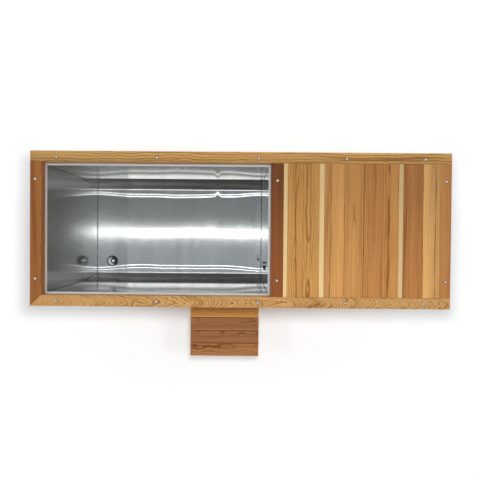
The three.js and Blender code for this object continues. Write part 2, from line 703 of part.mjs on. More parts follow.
function makeFrame() {
  const frame = groupOf(makeBaseDeck(), makeBulkhead());
  const skidXs = [-xFrame + SKID_SETBACK, xFrame - SKID_SETBACK];
  const ends = { left: [-xFrame, -xPlateRight], right: [xPlateRight, xFrame] };
  const sides = { front: [-yFrame, -yPlate], rear: [yPlate, yFrame] };
  const postZs = [zOnDeck, zPlateBottom - SEAT_GAP];
  const plateZs = [zPlateBottom, zPlateTop];
  for (const [side, ys] of Object.entries(sides)) {
    const middle = side === "front" ? -yFrame + SKID_INSET : yFrame - SKID_INSET;
    const skidYs = [middle - SKID_WIDTH / 2, middle + SKID_WIDTH / 2];
    frame.add(block(`skid_${side}`, framing, skidXs, skidYs, [0, SKID_HEIGHT]));
    frame.add(block(`${side}_top_plate`, framing, [-xFrame, xFrame], ys, plateZs));
    for (const [end, xs] of Object.entries(ends)) {
      frame.add(block(`post_${side}_${end}`, framing, xs, ys, postZs));
    }
  }
  for (const [end, xs] of Object.entries(ends)) {
    frame.add(block(`${end}_top_plate`, framing, xs, [-yPlate + SEAT_GAP, yPlate - SEAT_GAP], plateZs));
  }
  return frame;
}

// Cladding

// A boarded panel along X, its grooved outer face towards -Y at y = 0.
function boardedPanel(length) {
  const boards = Math.max(2, Math.round(length / CLAD_BOARD_WIDTH));
  const outline = [[-length / 2, CLAD_THICKNESS], [-length / 2, 0]];
  for (let i = 1; i < boards; i += 1) {
    const x = -length / 2 + (i * length) / boards;
    outline.push([x - GROOVE_WIDTH / 2, 0], [x, GROOVE_DEPTH], [x + GROOVE_WIDTH / 2, 0]);
  }
  outline.push([length / 2, 0], [length / 2, CLAD_THICKNESS]);
  return extrudedUp(outline, CLAD_GROUND_GAP, zRailBottom - SEAT_GAP);
}

function makeVents() {
  const slots = [];
  const xs = [xCladInner - CUT_PAST, xCladOuter + CUT_PAST];
  const ys = [-VENT_WIDTH / 2, VENT_WIDTH / 2];
  for (let i = 0; i < VENT_SLOTS; i += 1) {
    const z = fanZ + (i - (VENT_SLOTS - 1) / 2) * VENT_PITCH;
    slots.push(boxSolid(xs, ys, [z - VENT_HEIGHT / 2, z + VENT_HEIGHT / 2]));
  }
  return joined(slots);
}

function makeCladding() {
  const endLength = 2 * (yCladInner - SEAT_GAP);
  const front = boardedPanel(2 * xCladOuter).translate(0, -yCladOuter, 0);
  const rear = boardedPanel(2 * xCladOuter).rotateZ(Math.PI).translate(0, yCladOuter, 0);
  const left = boardedPanel(endLength).rotateZ(-Math.PI / 2).translate(-xCladOuter, 0, 0);
  const right = boardedPanel(endLength).rotateZ(Math.PI / 2).translate(xCladOuter, 0, 0);
  const holeFront = [xRiser, -yCladOuter - CUT_PAST, zTee];
  const holeBack = [xRiser, -yCladInner + CUT_PAST, zTee];
  const spigotHole = rod(SPIGOT_RADIUS + HOLE_CLEARANCE, holeFront, holeBack);
  return groupOf(
    named("front_cladding", geometryOf(solidOf(front).subtract(spigotHole)), redwood),
    named("rear_cladding", rear, redwood),
    named("left_cladding", left, redwood),
    named("right_cladding", geometryOf(solidOf(right).subtract(makeVents())), redwood),
  );
}

// Top rails and hatch

function makeRails() {
  const inner = yRailInner - SEAT_GAP;
  const mitreGap = Math.SQRT2 * SEAT_GAP;
  const leftInner = xLeft + RAIL_WIDTH;
  const frontOutline = [[xLeft, -yBack], [xRight, -yBack], [xRight, -yRailInner], [leftInner, -yRailInner]];
  const leftOutline = [
    [xLeft, -yBack + mitreGap],
    [leftInner, -yRailInner + mitreGap],
    [leftInner, inner],
    [xLeft, inner],
  ];
  const rearOutline = rectangle([xLeft, xRight], [yRailInner, yBack]);
  const crossOutline = rectangle([xCrossLeft, xCrossRight], [-inner, inner]);
  const rightOutline = rectangle([xHatchRight, xRight], [-inner, inner]);
  return groupOf(
    named("rear_rail", easedBoard(rearOutline, zRailBottom, zRailTop, RAIL_EASE), redwood),
    named("front_rail", easedBoard(frontOutline, zRailBottom, zRailTop, RAIL_EASE), redwood),
    named("left_rail", easedBoard(leftOutline, zRailBottom, zRailTop, RAIL_EASE), darkRedwood),
    named("cross_rail", easedBoard(crossOutline, zRailBottom, zRailTop, RAIL_EASE), darkRedwood),
    named("right_rail", easedBoard(rightOutline, zRailBottom, zRailTop, RAIL_EASE), redwood),
  );
}

function makeHatch() {
  const hatch = new THREE.Group();
  const boardYs = [-yRailInner + HATCH_CLEARANCE, yRailInner - HATCH_CLEARANCE];
  const lastBoard = HATCH_BOARD_WIDTHS.length - 1;
  let x = xCrossRight;
  HATCH_BOARD_WIDTHS.forEach((width, i) => {
    const x0 = x + (i === 0 ? HATCH_CLEARANCE : BOARD_GAP / 2);
    const x1 = x + width - (i === lastBoard ? HATCH_CLEARANCE : BOARD_GAP / 2);
    const board = easedBoard(rectangle([x0, x1], boardYs), zHatchBottom, zRailTop, BOARD_EASE);
    hatch.add(named(`hatch_board_${i + 1}`, board, redwood));
    x += width;
  });
  const battenXs = [xCrossRight + 2 * HATCH_CLEARANCE, xPlateRight - 2 * HATCH_CLEARANCE];
  const battenZs = [zHatchBottom - SEAT_GAP - BATTEN_THICKNESS, zHatchBottom - SEAT_GAP];
  const outer = yPlate - 2 * HATCH_CLEARANCE;
  hatch.add(block("hatch_batten_front", framing, battenXs, [-outer, -outer + BATTEN_WIDTH], battenZs));
  hatch.add(block("hatch_batten_rear", framing, battenXs, [outer - BATTEN_WIDTH, outer], battenZs));
  return hatch;
}

// Step

function makeStep() {
  const step = new THREE.Group();
  const treadXs = [STEP_CENTRE_X - STEP_WIDTH / 2, STEP_CENTRE_X + STEP_WIDTH / 2];
  const zTread = STEP_HEIGHT - STEP_BOARD_THICKNESS;
  let y = yStepBack;
  for (let i = 0; i <= STEP_FRONT_BOARDS; i += 1) {
    const depth = i === 0 ? STEP_BACK_BOARD_WIDTH : STEP_BOARD_WIDTH;
    const tread = easedBoard(rectangle(treadXs, [y - depth, y]), zTread, STEP_HEIGHT, RAIL_EASE);
    step.add(named(`step_tread_${i + 1}`, tread, i === 0 ? redwood : darkRedwood));
    y -= depth + STEP_BOARD_GAP;
  }
  const zSideTop = zTread - SEAT_GAP;
  const yFront = yStepBack - stepDepth + STEP_RISER_INSET;
  const left = treadXs[0] + STEP_SIDE_INSET;
  const right = treadXs[1] - STEP_SIDE_INSET;
  const sideYs = [yFront, yStepBack];
  step.add(block("step_side_left", redwood, [left, left + STEP_SIDE_THICKNESS], sideYs, [0, zSideTop]));
  step.add(block("step_side_right", redwood, [right - STEP_SIDE_THICKNESS, right], sideYs, [0, zSideTop]));
  const riserXs = [left + STEP_SIDE_THICKNESS + SEAT_GAP, right - STEP_SIDE_THICKNESS - SEAT_GAP];
  const riserYs = [yFront, yFront + STEP_RISER_THICKNESS];
  step.add(block("step_riser", redwood, riserXs, riserYs, [STEP_RISER_GROUND_GAP, zSideTop]));
  return step;
}

// Water circuit

function makePipes() {
  const suction = [
    [drainX, drainY, zTail - SEAT_GAP],
    [drainX, drainY, zPipe],
    [xRiser, drainY, zPipe],
    [xRiser, PUMP_Y, zPipe],
    [xRiser, PUMP_Y, zPump],
    [xVolute - SEAT_GAP, PUMP_Y, zPump],
  ];
  const emptying = [[xRiser, PUMP_Y, zTee], [xRiser, valveInletY + SEAT_GAP, zTee]];
  const inletY = FILTER_Y - FILTER_RADIUS - FILTER_STUB_LENGTH;
  const pressure = [
    [xVoluteMiddle, PUMP_Y, zPump + PUMP_OUTLET_HEIGHT + SEAT_GAP],
    [xVoluteMiddle, PUMP_Y, zFilterPort],
    [filterX, PUMP_Y, zFilterPort],
    [filterX, inletY - SEAT_GAP, zFilterPort],
  ];
  const back = [
    [xBasinRight + fittingTail + SEAT_GAP, returnY, returnZ],
    [xChillerLeft - SEAT_GAP, returnY, returnZ],
  ];
  return groupOf(
    pipe("suction_pipe", [suction, emptying], PIPE_RADIUS, PIPE_BORE),
    pipe("pressure_pipe", [pressure], PIPE_RADIUS, PIPE_BORE),
    pipe("return_pipe", [back], RETURN_PIPE_RADIUS, RETURN_PIPE_BORE),
  );
}

function makeDrainValve() {
  const spigotEnd = valveInletY + yCladOuter + SPIGOT_REACH;
  const neckEnd = VALVE_BODY_LENGTH - SPIGOT_LENGTH;
  const socket = PIPE_RADIUS + VALVE_SOCKET_GROWTH;
  const housing = PIPE_RADIUS + VALVE_HOUSING_GROWTH;
  const housingStart = VALVE_STEM_REACH - VALVE_HOUSING_LENGTH / 2;
  const housingEnd = VALVE_STEM_REACH + VALVE_HOUSING_LENGTH / 2;
  const profile = [
    [0, 0],
    [socket, 0],
    [socket, VALVE_SOCKET_LENGTH],
    [housing, housingStart],
    [housing, housingEnd],
    [PIPE_RADIUS, housingEnd + VALVE_SHOULDER],
    [PIPE_RADIUS, neckEnd],
    [SPIGOT_RADIUS, neckEnd],
    [SPIGOT_RADIUS, spigotEnd],
    [0, spigotEnd],
  ];
  const towardsFront = new THREE.Vector3(0, -1, 0);
  const outside = solidOf(turned(profile, PIPE_SIDES, towardsFront, [xRiser, valveInletY, zTee]));
  const stemY = valveInletY - VALVE_STEM_REACH;
  const zStem = zTee + housing + VALVE_STEM_RISE;
  const stem = rod(VALVE_STEM_RADIUS, [xRiser, stemY, zTee], [xRiser, stemY, zStem]);
  const boreStart = [xRiser, valveInletY + CUT_PAST, zTee];
  const boreEnd = [xRiser, valveInletY - spigotEnd - CUT_PAST, zTee];
  const bore = rod(SPIGOT_BORE, boreStart, boreEnd);
  const hubBottom = [xRiser, stemY, zStem + SEAT_GAP];
  const hub = rod(LEVER_HUB_RADIUS, hubBottom, [xRiser, stemY, zStem + LEVER_HUB_HEIGHT]);
  const armYs = [stemY - LEVER_WIDTH / 2, stemY + LEVER_WIDTH / 2];
  const zArm = zStem + LEVER_RISE;
  const arm = boxSolid([xRiser, xRiser + LEVER_LENGTH], armYs, [zArm, zArm + LEVER_THICKNESS]);
  return groupOf(
    named("drain_valve_body", geometryOf(outside.add(stem).subtract(bore)), brass),
    named("drain_valve_lever", geometryOf(hub.add(arm)), redPlastic),
  );
}

// Pump

function makeVolute() {
  const port = PIPE_RADIUS + PUMP_PORT_GROWTH;
  const profile = [
    [0, VOLUTE_FLOOR],
    [PIPE_BORE, VOLUTE_FLOOR],
    [PIPE_BORE, 0],
    [port, 0],
    [port, VOLUTE_NECK],
    [VOLUTE_RADIUS - VOLUTE_EASE, VOLUTE_NECK],
    [VOLUTE_RADIUS, VOLUTE_NECK + VOLUTE_EASE],
    [VOLUTE_RADIUS, VOLUTE_LENGTH - VOLUTE_EASE],
    [VOLUTE_RADIUS - VOLUTE_EASE, VOLUTE_LENGTH],
    [0, VOLUTE_LENGTH],
  ];
  const bowl = solidOf(turned(profile, ROUND_SIDES, AXIS_X, [xVolute, PUMP_Y, zPump]));
  const outletAt = (z) => [xVoluteMiddle, PUMP_Y, z];
  const zOutlet = zPump + PUMP_OUTLET_HEIGHT;
  const outlet = rod(port, outletAt(zPump), outletAt(zOutlet));
  const mouth = rod(PIPE_BORE, outletAt(zOutlet - PUMP_MOUTH_DEPTH), outletAt(zOutlet + CUT_PAST));
  return named("pump_volute", geometryOf(bowl.add(outlet).subtract(mouth)), blackPlastic);
}

// The motor's turned barrel: a nose, a row of fins and a narrower tail.
function motorProfile() {
  const nose = MOTOR_NOSE_LENGTH;
  const groove = MOTOR_RADIUS - MOTOR_FIN_DEPTH;
  const noseEnd = [MOTOR_NOSE_RADIUS, nose - SMALL_EASE];
  const profile = [[0, 0], [MOTOR_NOSE_RADIUS, 0], noseEnd, [MOTOR_RADIUS, nose]];
  for (let i = 0; i < MOTOR_FINS; i += 1) {
    const finEnd = nose + i * MOTOR_FIN_PITCH + MOTOR_FIN_WIDTH;
    const nextFin = nose + (i + 1) * MOTOR_FIN_PITCH;
    profile.push([MOTOR_RADIUS, finEnd], [groove, finEnd + SMALL_EASE]);
    profile.push([groove, nextFin - SMALL_EASE], [MOTOR_RADIUS, nextFin]);
  }
  profile.push([MOTOR_TAIL_RADIUS, MOTOR_LENGTH], [0, MOTOR_LENGTH]);
  return profile;
}

function makeMotor() {
  const xMotor = xVolute + VOLUTE_LENGTH + SEAT_GAP;
  const barrel = solidOf(turned(motorProfile(), ROUND_SIDES, AXIS_X, [xMotor, PUMP_Y, zPump]));
  const footXs = [xMotor + MOTOR_FOOT_SETBACK, xMotor + MOTOR_FOOT_SETBACK + MOTOR_FOOT_LENGTH];
  const footYs = [PUMP_Y - MOTOR_FOOT_WIDTH / 2, PUMP_Y + MOTOR_FOOT_WIDTH / 2];
  const foot = boxSolid(footXs, footYs, [zOnDeck, zPump - MOTOR_FOOT_SINK]);
  const boxYs = [PUMP_Y - TERMINAL_BOX_WIDTH / 2, PUMP_Y + TERMINAL_BOX_WIDTH / 2];
  const terminals = boxSolid(footXs, boxYs, [zPump, zPump + MOTOR_RADIUS + TERMINAL_BOX_RISE]);
  return named("pump_motor", geometryOf(joined([barrel, foot, terminals])), greyPaint);
}

// Filter

function makeCanister() {
  const inside = FILTER_RADIUS - FILTER_WALL;
  const place = [filterX, FILTER_Y, zOnDeck];
  const outsideProfile = [
    [0, 0],
    [FILTER_RADIUS - FILTER_EASE, 0],
    [FILTER_RADIUS, FILTER_EASE],
    [FILTER_RADIUS, FILTER_HEIGHT],
    [0, FILTER_HEIGHT],
  ];
  const hollowTop = FILTER_HEIGHT + CUT_PAST;
  const hollowProfile = [[0, FILTER_FLOOR], [inside, FILTER_FLOOR], [inside, hollowTop], [0, hollowTop]];
  const can = solidOf(turned(outsideProfile, ROUND_SIDES, AXIS_Z, place));
  const hollow = solidOf(turned(hollowProfile, ROUND_SIDES, AXIS_Z, place));
  const stub = PIPE_RADIUS + SOCKET_GROWTH;
  const zOutlet = zOnDeck + FILTER_OUTLET_HEIGHT;
  const xOutlet = xChillerLeft - SEAT_GAP;
  const yInlet = FILTER_Y - FILTER_RADIUS - FILTER_STUB_LENGTH;
  const inletMiddle = [filterX, FILTER_Y, zFilterPort];
  const outletMiddle = [filterX, FILTER_Y, zOutlet];
  const inlet = rod(stub, [filterX, yInlet, zFilterPort], inletMiddle);
  const inletBore = rod(PIPE_BORE, [filterX, yInlet - CUT_PAST, zFilterPort], inletMiddle);
  const outlet = rod(stub, outletMiddle, [xOutlet, FILTER_Y, zOutlet]);
  const outletBore = rod(PIPE_BORE, outletMiddle, [xOutlet + CUT_PAST, FILTER_Y, zOutlet]);
  const canister = joined([can, inlet, outlet]).subtract(joined([hollow, inletBore, outletBore]));
  return named("filter_canister", geometryOf(canister), bluePlastic);
}

function makeCartridge() {
  const outline = [];
  for (let i = 0; i < 2 * CARTRIDGE_PLEATS; i += 1) {
    const radius = i % 2 === 0 ? CARTRIDGE_RADIUS : CARTRIDGE_RADIUS - CARTRIDGE_PLEAT_DEPTH;
    const angle = (i * Math.PI) / CARTRIDGE_PLEATS;
    outline.push([radius * Math.cos(angle), radius * Math.sin(angle)]);
  }
  const shape = shapeOf(outline);
  shape.holes.push(new THREE.Path().absarc(0, 0, CARTRIDGE_CORE_RADIUS, 0, 2 * Math.PI, true));
  const zBottom = zOnDeck + FILTER_FLOOR + SEAT_GAP;
  const depth = zFilterRim - CARTRIDGE_HEADROOM - zBottom;
  const options = { depth, bevelEnabled: false, curveSegments: PIPE_SIDES / 2 };
  const pleats = new THREE.ExtrudeGeometry(shape, options).translate(filterX, FILTER_Y, zBottom);
  return named("filter_cartridge", pleats, paper);
}

function makeFilterLid() {
  const skirt = FILTER_RADIUS + LID_CLEARANCE;
  const outer = skirt + LID_WALL;
  const cap = [
    [0, SEAT_GAP],
    [skirt, SEAT_GAP],
    [skirt, -LID_SKIRT],
    [outer, -LID_SKIRT],
    [outer, LID_HEIGHT - LID_EASE],
    [outer - LID_EASE, LID_HEIGHT],
    [0, LID_HEIGHT],
  ];
  const lid = [solidOf(turned(cap, ROUND_SIDES, AXIS_Z, [filterX, FILTER_Y, zFilterRim]))];
  const lugXs = [outer - LID_WALL / 2, outer + LUG_REACH];
  const lugYs = [-LUG_WIDTH / 2, LUG_WIDTH / 2];
  const lugZs = [-LID_SKIRT + SMALL_EASE, LID_HEIGHT - LUG_SETBACK];
  for (let i = 0; i < LID_LUGS; i += 1) {
    const lug = boxGeometry(lugXs, lugYs, lugZs).rotateZ((i * 2 * Math.PI) / LID_LUGS);
    lid.push(solidOf(lug.translate(filterX, FILTER_Y, zFilterRim)));
  }
  return named("filter_lid", geometryOf(joined(lid)), blackPlastic);
}

// Chiller

function makeChillerCasing() {
  const inset = ([from, to]) => [from + CHILLER_WALL, to - CHILLER_WALL];
  const xs = [xChillerLeft, xChillerRight];
  const ys = [-CHILLER_WIDTH / 2, CHILLER_WIDTH / 2];
  const zs = [zOnDeck, zChillerTop];
  const shell = boxSolid(xs, ys, zs).subtract(boxSolid(inset(xs), inset(ys), inset(zs)));
  const wallCut = CHILLER_WALL + CUT_PAST;
  const fanHoleEnds = [xChillerRight - wallCut, xChillerRight + CUT_PAST].map((x) => [x, 0, fanZ]);
  const buttonHoleEnds = [zChillerTop - wallCut, zChillerTop + CUT_PAST].map((z) => [buttonX, buttonY, z]);
  const cuts = [
    rod(FAN_HOLE_RADIUS, ...fanHoleEnds, ROUND_SIDES),
    rod(BUTTON_RADIUS + HOLE_CLEARANCE, ...buttonHoleEnds),
  ];
  const slotXs = [xChillerLeft - CUT_PAST, xChillerLeft + wallCut];
  const slotYs = [-CHILLER_SLOT_WIDTH / 2, CHILLER_SLOT_WIDTH / 2];
  for (let i = 0; i < CHILLER_SLOTS; i += 1) {
    const z = zChillerTop - CHILLER_SLOT_DROP - i * CHILLER_SLOT_PITCH;
    cuts.push(boxSolid(slotXs, slotYs, [z - CHILLER_SLOT_HEIGHT / 2, z + CHILLER_SLOT_HEIGHT / 2]));
  }
  return named("chiller_casing", geometryOf(shell.subtract(joined(cuts))), greyPaint);
}

function makeFan() {
  const solids = [rod(FAN_HUB_RADIUS, [xFanBack, 0, fanZ], [xFanBack + FAN_DEPTH, 0, fanZ])];
  const reach = FAN_RADIUS - FAN_BLADE_ROOT;
  for (let i = 0; i < FAN_BLADES; i += 1) {
    const blade = new THREE.BoxGeometry(FAN_BLADE_THICKNESS, FAN_BLADE_CHORD, reach);
    blade.rotateZ(FAN_BLADE_ANGLE).translate(0, 0, FAN_BLADE_ROOT + reach / 2);
    blade.rotateX((i * 2 * Math.PI) / FAN_BLADES).translate(xFanBack + FAN_DEPTH / 2, 0, fanZ);
    solids.push(solidOf(blade));
  }
  return named("chiller_fan", geometryOf(joined(solids)), blackPlastic);
}

function makeFanMotor() {
  const xFront = xFanBack - SEAT_GAP;
  const xCan = xFront - FAN_SHAFT_LENGTH;
  const xCanBack = xCan - FAN_MOTOR_LENGTH;
  const can = rod(FAN_MOTOR_RADIUS, [xCanBack, 0, fanZ], [xCan, 0, fanZ], ROUND_SIDES);
  const shaft = rod(FAN_SHAFT_RADIUS, [xCanBack, 0, fanZ], [xFront, 0, fanZ]);
  const zFoot = zOnDeck + CHILLER_WALL + SEAT_GAP;
  const bracketX = xFront - FAN_BRACKET_SETBACK;
  const soleX = xFront - FAN_SOLE_SETBACK;
  const bracketYs = [-FAN_BRACKET_WIDTH / 2, FAN_BRACKET_WIDTH / 2];
  const soleYs = [-FAN_SOLE_WIDTH / 2, FAN_SOLE_WIDTH / 2];
  const bracket = boxSolid([bracketX - FAN_BRACKET_LENGTH, bracketX], bracketYs, [zFoot, fanZ]);
  const sole = boxSolid([soleX - FAN_SOLE_LENGTH, soleX], soleYs, [zFoot, zFoot + FAN_SOLE_THICKNESS]);
  return named("fan_motor", geometryOf(joined([can, shaft, bracket, sole])), greyPaint);
}

function makeButton() {
  const collar = BUTTON_RADIUS + BUTTON_COLLAR;
  const profile = [
    [0, -CHILLER_WALL - BUTTON_COLLAR],
    [collar, -CHILLER_WALL - BUTTON_COLLAR],
    [collar, -CHILLER_WALL - SEAT_GAP],
    [BUTTON_RADIUS, -CHILLER_WALL - SEAT_GAP],
    [BUTTON_RADIUS, BUTTON_PROUD - BUTTON_EASE],
    [BUTTON_RADIUS - BUTTON_EASE, BUTTON_PROUD],
    [0, BUTTON_PROUD],
  ];
  const place = [buttonX, buttonY, zChillerTop];
  return named("power_button", turned(profile, PIPE_SIDES, AXIS_Z, place), redPlastic);
}

function makeTub() {
  const tub = groupOf(
    makeBasinShell(),
    makeInsulation(),
    makeDrain(),
    makeReturnFitting(),
    makeProbe(),
    makeFrame(),
    makeCladding(),
    makeRails(),
    makeHatch(),
    makeStep(),
    makePipes(),
    makeDrainValve(),
    makeVolute(),
    makeMotor(),
    makeCanister(),
    makeCartridge(),
    makeFilterLid(),
    makeChillerCasing(),
    makeFan(),
    makeFanMotor(),
    makeButton(),
  );
  tub.name = "cold_plunge_tub";
  tub.position.y = yCabinet;
  return tub;
}

export default groupOf(makeTub());
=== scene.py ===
import math

import bmesh
import bpy
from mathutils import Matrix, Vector


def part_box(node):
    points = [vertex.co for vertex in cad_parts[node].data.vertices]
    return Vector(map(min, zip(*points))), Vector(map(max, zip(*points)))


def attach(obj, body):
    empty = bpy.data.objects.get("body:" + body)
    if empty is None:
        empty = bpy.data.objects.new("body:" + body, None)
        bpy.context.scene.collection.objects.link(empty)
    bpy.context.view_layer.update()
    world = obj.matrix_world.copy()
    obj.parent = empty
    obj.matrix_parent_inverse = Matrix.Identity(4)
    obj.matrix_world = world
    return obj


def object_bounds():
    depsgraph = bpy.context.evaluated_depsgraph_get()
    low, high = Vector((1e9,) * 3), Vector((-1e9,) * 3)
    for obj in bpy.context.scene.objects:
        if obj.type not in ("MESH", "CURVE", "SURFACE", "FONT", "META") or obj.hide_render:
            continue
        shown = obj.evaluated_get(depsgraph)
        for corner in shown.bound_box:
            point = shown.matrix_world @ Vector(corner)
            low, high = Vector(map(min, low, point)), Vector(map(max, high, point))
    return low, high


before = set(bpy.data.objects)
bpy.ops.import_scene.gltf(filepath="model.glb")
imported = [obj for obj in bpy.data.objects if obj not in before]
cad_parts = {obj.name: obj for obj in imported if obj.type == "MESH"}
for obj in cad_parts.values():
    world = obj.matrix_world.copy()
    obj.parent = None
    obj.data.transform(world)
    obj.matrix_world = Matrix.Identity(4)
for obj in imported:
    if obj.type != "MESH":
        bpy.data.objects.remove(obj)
cad_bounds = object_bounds()
scene = bpy.context.scene

# Camera, fitted to the photograph's edges and taken as a 480 by 480 image
IMAGE_PIXELS = 480
SENSOR_MM = 36.0
FOCAL_PIXELS = 316.4
CAMERA_PLACE = (0.0075, 0.1787, 2.6249)
CAMERA_TURN = (-0.561, 0.226, 0.485)  # degrees about X, Y and Z

# Lamps
SUNS = (  # name, strength, degrees across for soft edges, and degrees of lean towards +X and +Y
    ("key", 0.36, 11.0, (35.5, 15.0)),
    ("fill", 0.22, 11.0, (-35.5, 15.0)),
)
SUN_REACH = 3.0  # how far off a sun stands, which doesn't change its light
OVERHEAD_PLACE = (0.055, 0.295, 2.5)  # soft lamp near the camera
OVERHEAD_RADIUS = 0.14
OVERHEAD_WATTS = 16.6

# Floor
FLOOR_SIZE = 40.0
FLOOR_DROP = 0.0005  # below the lowest point of the part
FLOOR_COLOUR = (0.9, 0.912, 0.93)
FLOOR_LIFT = (0.14, 0.52)  # white that the floor shows of itself near the object and far from it
FLOOR_LIFT_REACH = (1.0, 7.0)

# World: brightness of the studio by direction. Sideways places are tangents of the angle from straight up.
HORIZON = 0.02  # a direction lower than this counts as this high
PANEL_HALF_X = (0.46, 0.58)  # pale ceiling panel overhead: full to here, gone at there
PANEL_REAR = (0.15, 0.29)
PANEL_FRONT = (-0.165, -0.215)
PANEL_MIDDLE = -0.06  # brightest line of the panel
PANEL_FADE = 0.16  # from there to its dimmer borders
PANEL_BORDER = 0.5
PANEL_LIGHT = (0.30, 0.33, 0.34)
PANEL_GAIN = 1.2  # how much brighter the panel and lamps are towards +X
PANEL_GAIN_REACH = (0.2, 0.36)
LAMP_HALF_X = (0.45, 0.53)  # reach of the lamps
LAMP_ROWS = (  # place in Y, half width, softness of the edge and brightness of each row of lamps
    (0.0105, 0.0055, 0.008, 3.6),
    (0.0105, 0.0, 0.05, 0.32),
    (-0.275, 0.028, 0.016, 1.5),
    (0.238, 0.020, 0.016, 1.5),
)
CEILING_LIGHT = (0.07, 0.071, 0.052)
WALL_LIGHT = 0.62
WALL_SWING = 0.15  # share by which the walls are brighter towards +X and +Y, and darker away from there
WALL_START = (0.70, 0.84)  # height of the direction where the walls end and the ceiling begins

# Colours of the timber, as linear red, green and blue
GOLDEN = (0.497, 0.245, 0.064)
LIGHT_TAN = (0.605, 0.322, 0.102)
TAN = (0.52, 0.243, 0.068)
WARM_TAN = (0.485, 0.218, 0.055)
ROSY_TAN = (0.535, 0.258, 0.076)
REDDISH = (0.44, 0.189, 0.052)
BROWN = (0.41, 0.168, 0.045)
HONEY = (0.45, 0.248, 0.077)
PALE_HONEY = (0.545, 0.295, 0.10)
DEEP_RED = (0.208, 0.062, 0.014)
RED_BROWN = (0.30, 0.108, 0.023)
STEP_GOLD = (0.515, 0.238, 0.052)
STEP_BROWN = (0.31, 0.132, 0.045)
SAPWOOD = (0.74, 0.53, 0.262)
DULL_SAPWOOD = (0.622, 0.445, 0.22)
# Painted highlights along the front edges of the step's two rearmost treads, where the rounded edge catches
# light
GOLD_EDGE_HIGHLIGHT = (0.62, 0.335, 0.11)
BROWN_EDGE_HIGHLIGHT = (0.46, 0.21, 0.082)
RESIN = (0.2, 0.06, 0.014)
FRAMING_PALE = (0.60, 0.42, 0.21)
PLY_PALE = (0.56, 0.39, 0.21)
PLY_DARK = (0.4032, 0.2808, 0.1512)
# Painted shade round the screw heads: dark fibrous wood standing in for the shadow in each countersunk hole
SCREW_SHADE_DARK = (0.06, 0.022, 0.008)
SCREW_SHADE_PALE = (0.16, 0.062, 0.02)

# Colours of the other finishes
WHITE = (1.0, 1.0, 1.0)
STEEL = (0.82, 0.835, 0.835)
WELD_GREY = (0.28, 0.28, 0.27)
WELD_BURN = (0.006, 0.006, 0.005)
CHROME = (0.95, 0.96, 0.97)
# near black of the drain: painted shade in the bowl, with grime, and the dark band round the rim
GRIME_AND_SHADE = (0.01, 0.01, 0.011)
ZINC = (0.88, 0.88, 0.86)
BRASS = (0.52, 0.34, 0.1)
BLACK = (0.018, 0.018, 0.02)
PIPE_WHITE = (0.8, 0.8, 0.78)
CANISTER_BLUE = (0.03, 0.12, 0.31)
LEVER_RED = (0.46, 0.03, 0.024)
CASING_GREY = (0.27, 0.29, 0.3)
FOAM_PALE = (0.80, 0.73, 0.48)
FOAM_CUT = (0.66, 0.58, 0.34)
PAPER_WHITE = (0.82, 0.83, 0.84)

# Grain of the timber: waves in a metre across and along a board
FIGURE_WAVES = (24.0, 12.0)
JAG_WAVES = (120.0, 38.0)
FIBRE_WAVES = (520.0, 14.0)
PORE_WAVES = (900.0, 42.0)
CLOUD_WAVES = (9.0, 2.1)
GROWTH_WAVES = (22.0, 1.7)  # patches where the rings are weaker or stronger
SWAY_WAVES = (4.0, 3.0)  # of streaks and pale edges, along and across
DAMP_WAVES = (9.0, 9.0)
BAND_WAVES = (38.0, 0.8)  # outwards from the trunk's heart, and along the board
BEND_WAVES = 1.6  # the trunk's bends to the side, along the board
DIVE_WAVES = 2.3  # and its bends in depth
RUNOUT_WAVES = 2.7
FADE_WAVES = 5.0  # dark streaks that come and go
SEED_SHIFTS = {"dive": 7.3, "figure": 2.2, "runout": 5.5, "cloud": 3.1, "growth": 4.4, "sway": 1.7,
               "board": 50.5}
STREAK_SEED_SHARE = 90.0  # streaks at other places fade at other places

# Look of the timber
RING_WIDTH = 0.009
CONTRAST = 0.8  # strength of the rings
FIGURE = 0.006  # wave of the rings
RUNOUT = 0.4  # metres by which the rings' run-out varies along the board
JAGS = 0.0025  # jagged edge of the rings
DRIFT_JAGS = 0.012  # and more of it where the rings run out
LATE_WOOD = (0.64, 0.94)  # part of each ring where the dark late wood sets in
RING_END = (1.0, 0.96)  # and where it stops short
LATE_SHARES = (0.46, 0.32, 0.24)  # late wood against heartwood, in red, green and blue
EARLY_SHARES = (1.16, 1.22, 1.32)
PALEST = 0.9
PORE_CUT = (0.66, 0.76)  # where noise begins to mark the wood, and where it marks it fully
BAND_CUT = (0.36, 0.66)
DARK_BAND_CUT = (0.54, 0.72)
GROWTH_CUT = (0.38, 0.62)
FADE_CUT = (0.3, 0.55)
FADE = (0.25, 1.0)  # weakest and strongest part of a streak
GROWTH = (0.4, 1.4)  # weakest and strongest rings
SWAY = 0.016  # metres by which streaks and pale edges wander
STREAK_SWAY = 1.6
PALE_EDGE_SWAY = 0.35
PALE_EDGE_SOFT = 0.0015  # half of the soft change to a pale edge
JOINT_SHADE = 0.55
EDGE_LEAN = (0.95, 0.85)  # largest part of the normal on flat faces and on eased edges
# eased edges painted paler: partly wear, partly a painted highlight where the rounded edge catches light
EDGE_PALE = 0.22
EVEN = (1.0, 1.0)  # the same shade from end to end
WOOD_ROUGH = 0.4
WOOD_SPECULAR = 0.35
DECK_PAINTED_LIGHT = (1.12, 0.82)  # painted light: the deck is painted lighter towards the front and darker towards the rear, as the light falls off

# Cladding
LONG_BOARDS = 21
END_BOARDS = 7
CLADDING_PITH = (0.0, 0.03, 0.03, 0.05)
CLADDING_CONTRAST = 0.75
CLADDING_ROUGH = 0.44
TRUNK_WIDTH = 0.26  # each board is cut from another place of a trunk this wide and long
TRUNK_LENGTH = 9.0
DAMP_HEIGHT = (0.03, 0.16)  # weather at the foot: darkest below here, gone above there
DAMP_EDGE = 0.09
DAMP_SHADE = 0.78
RED_BOARDS = (0.45, 1.0)  # share of chance from which a board is reddish
RED_MOST = 0.7

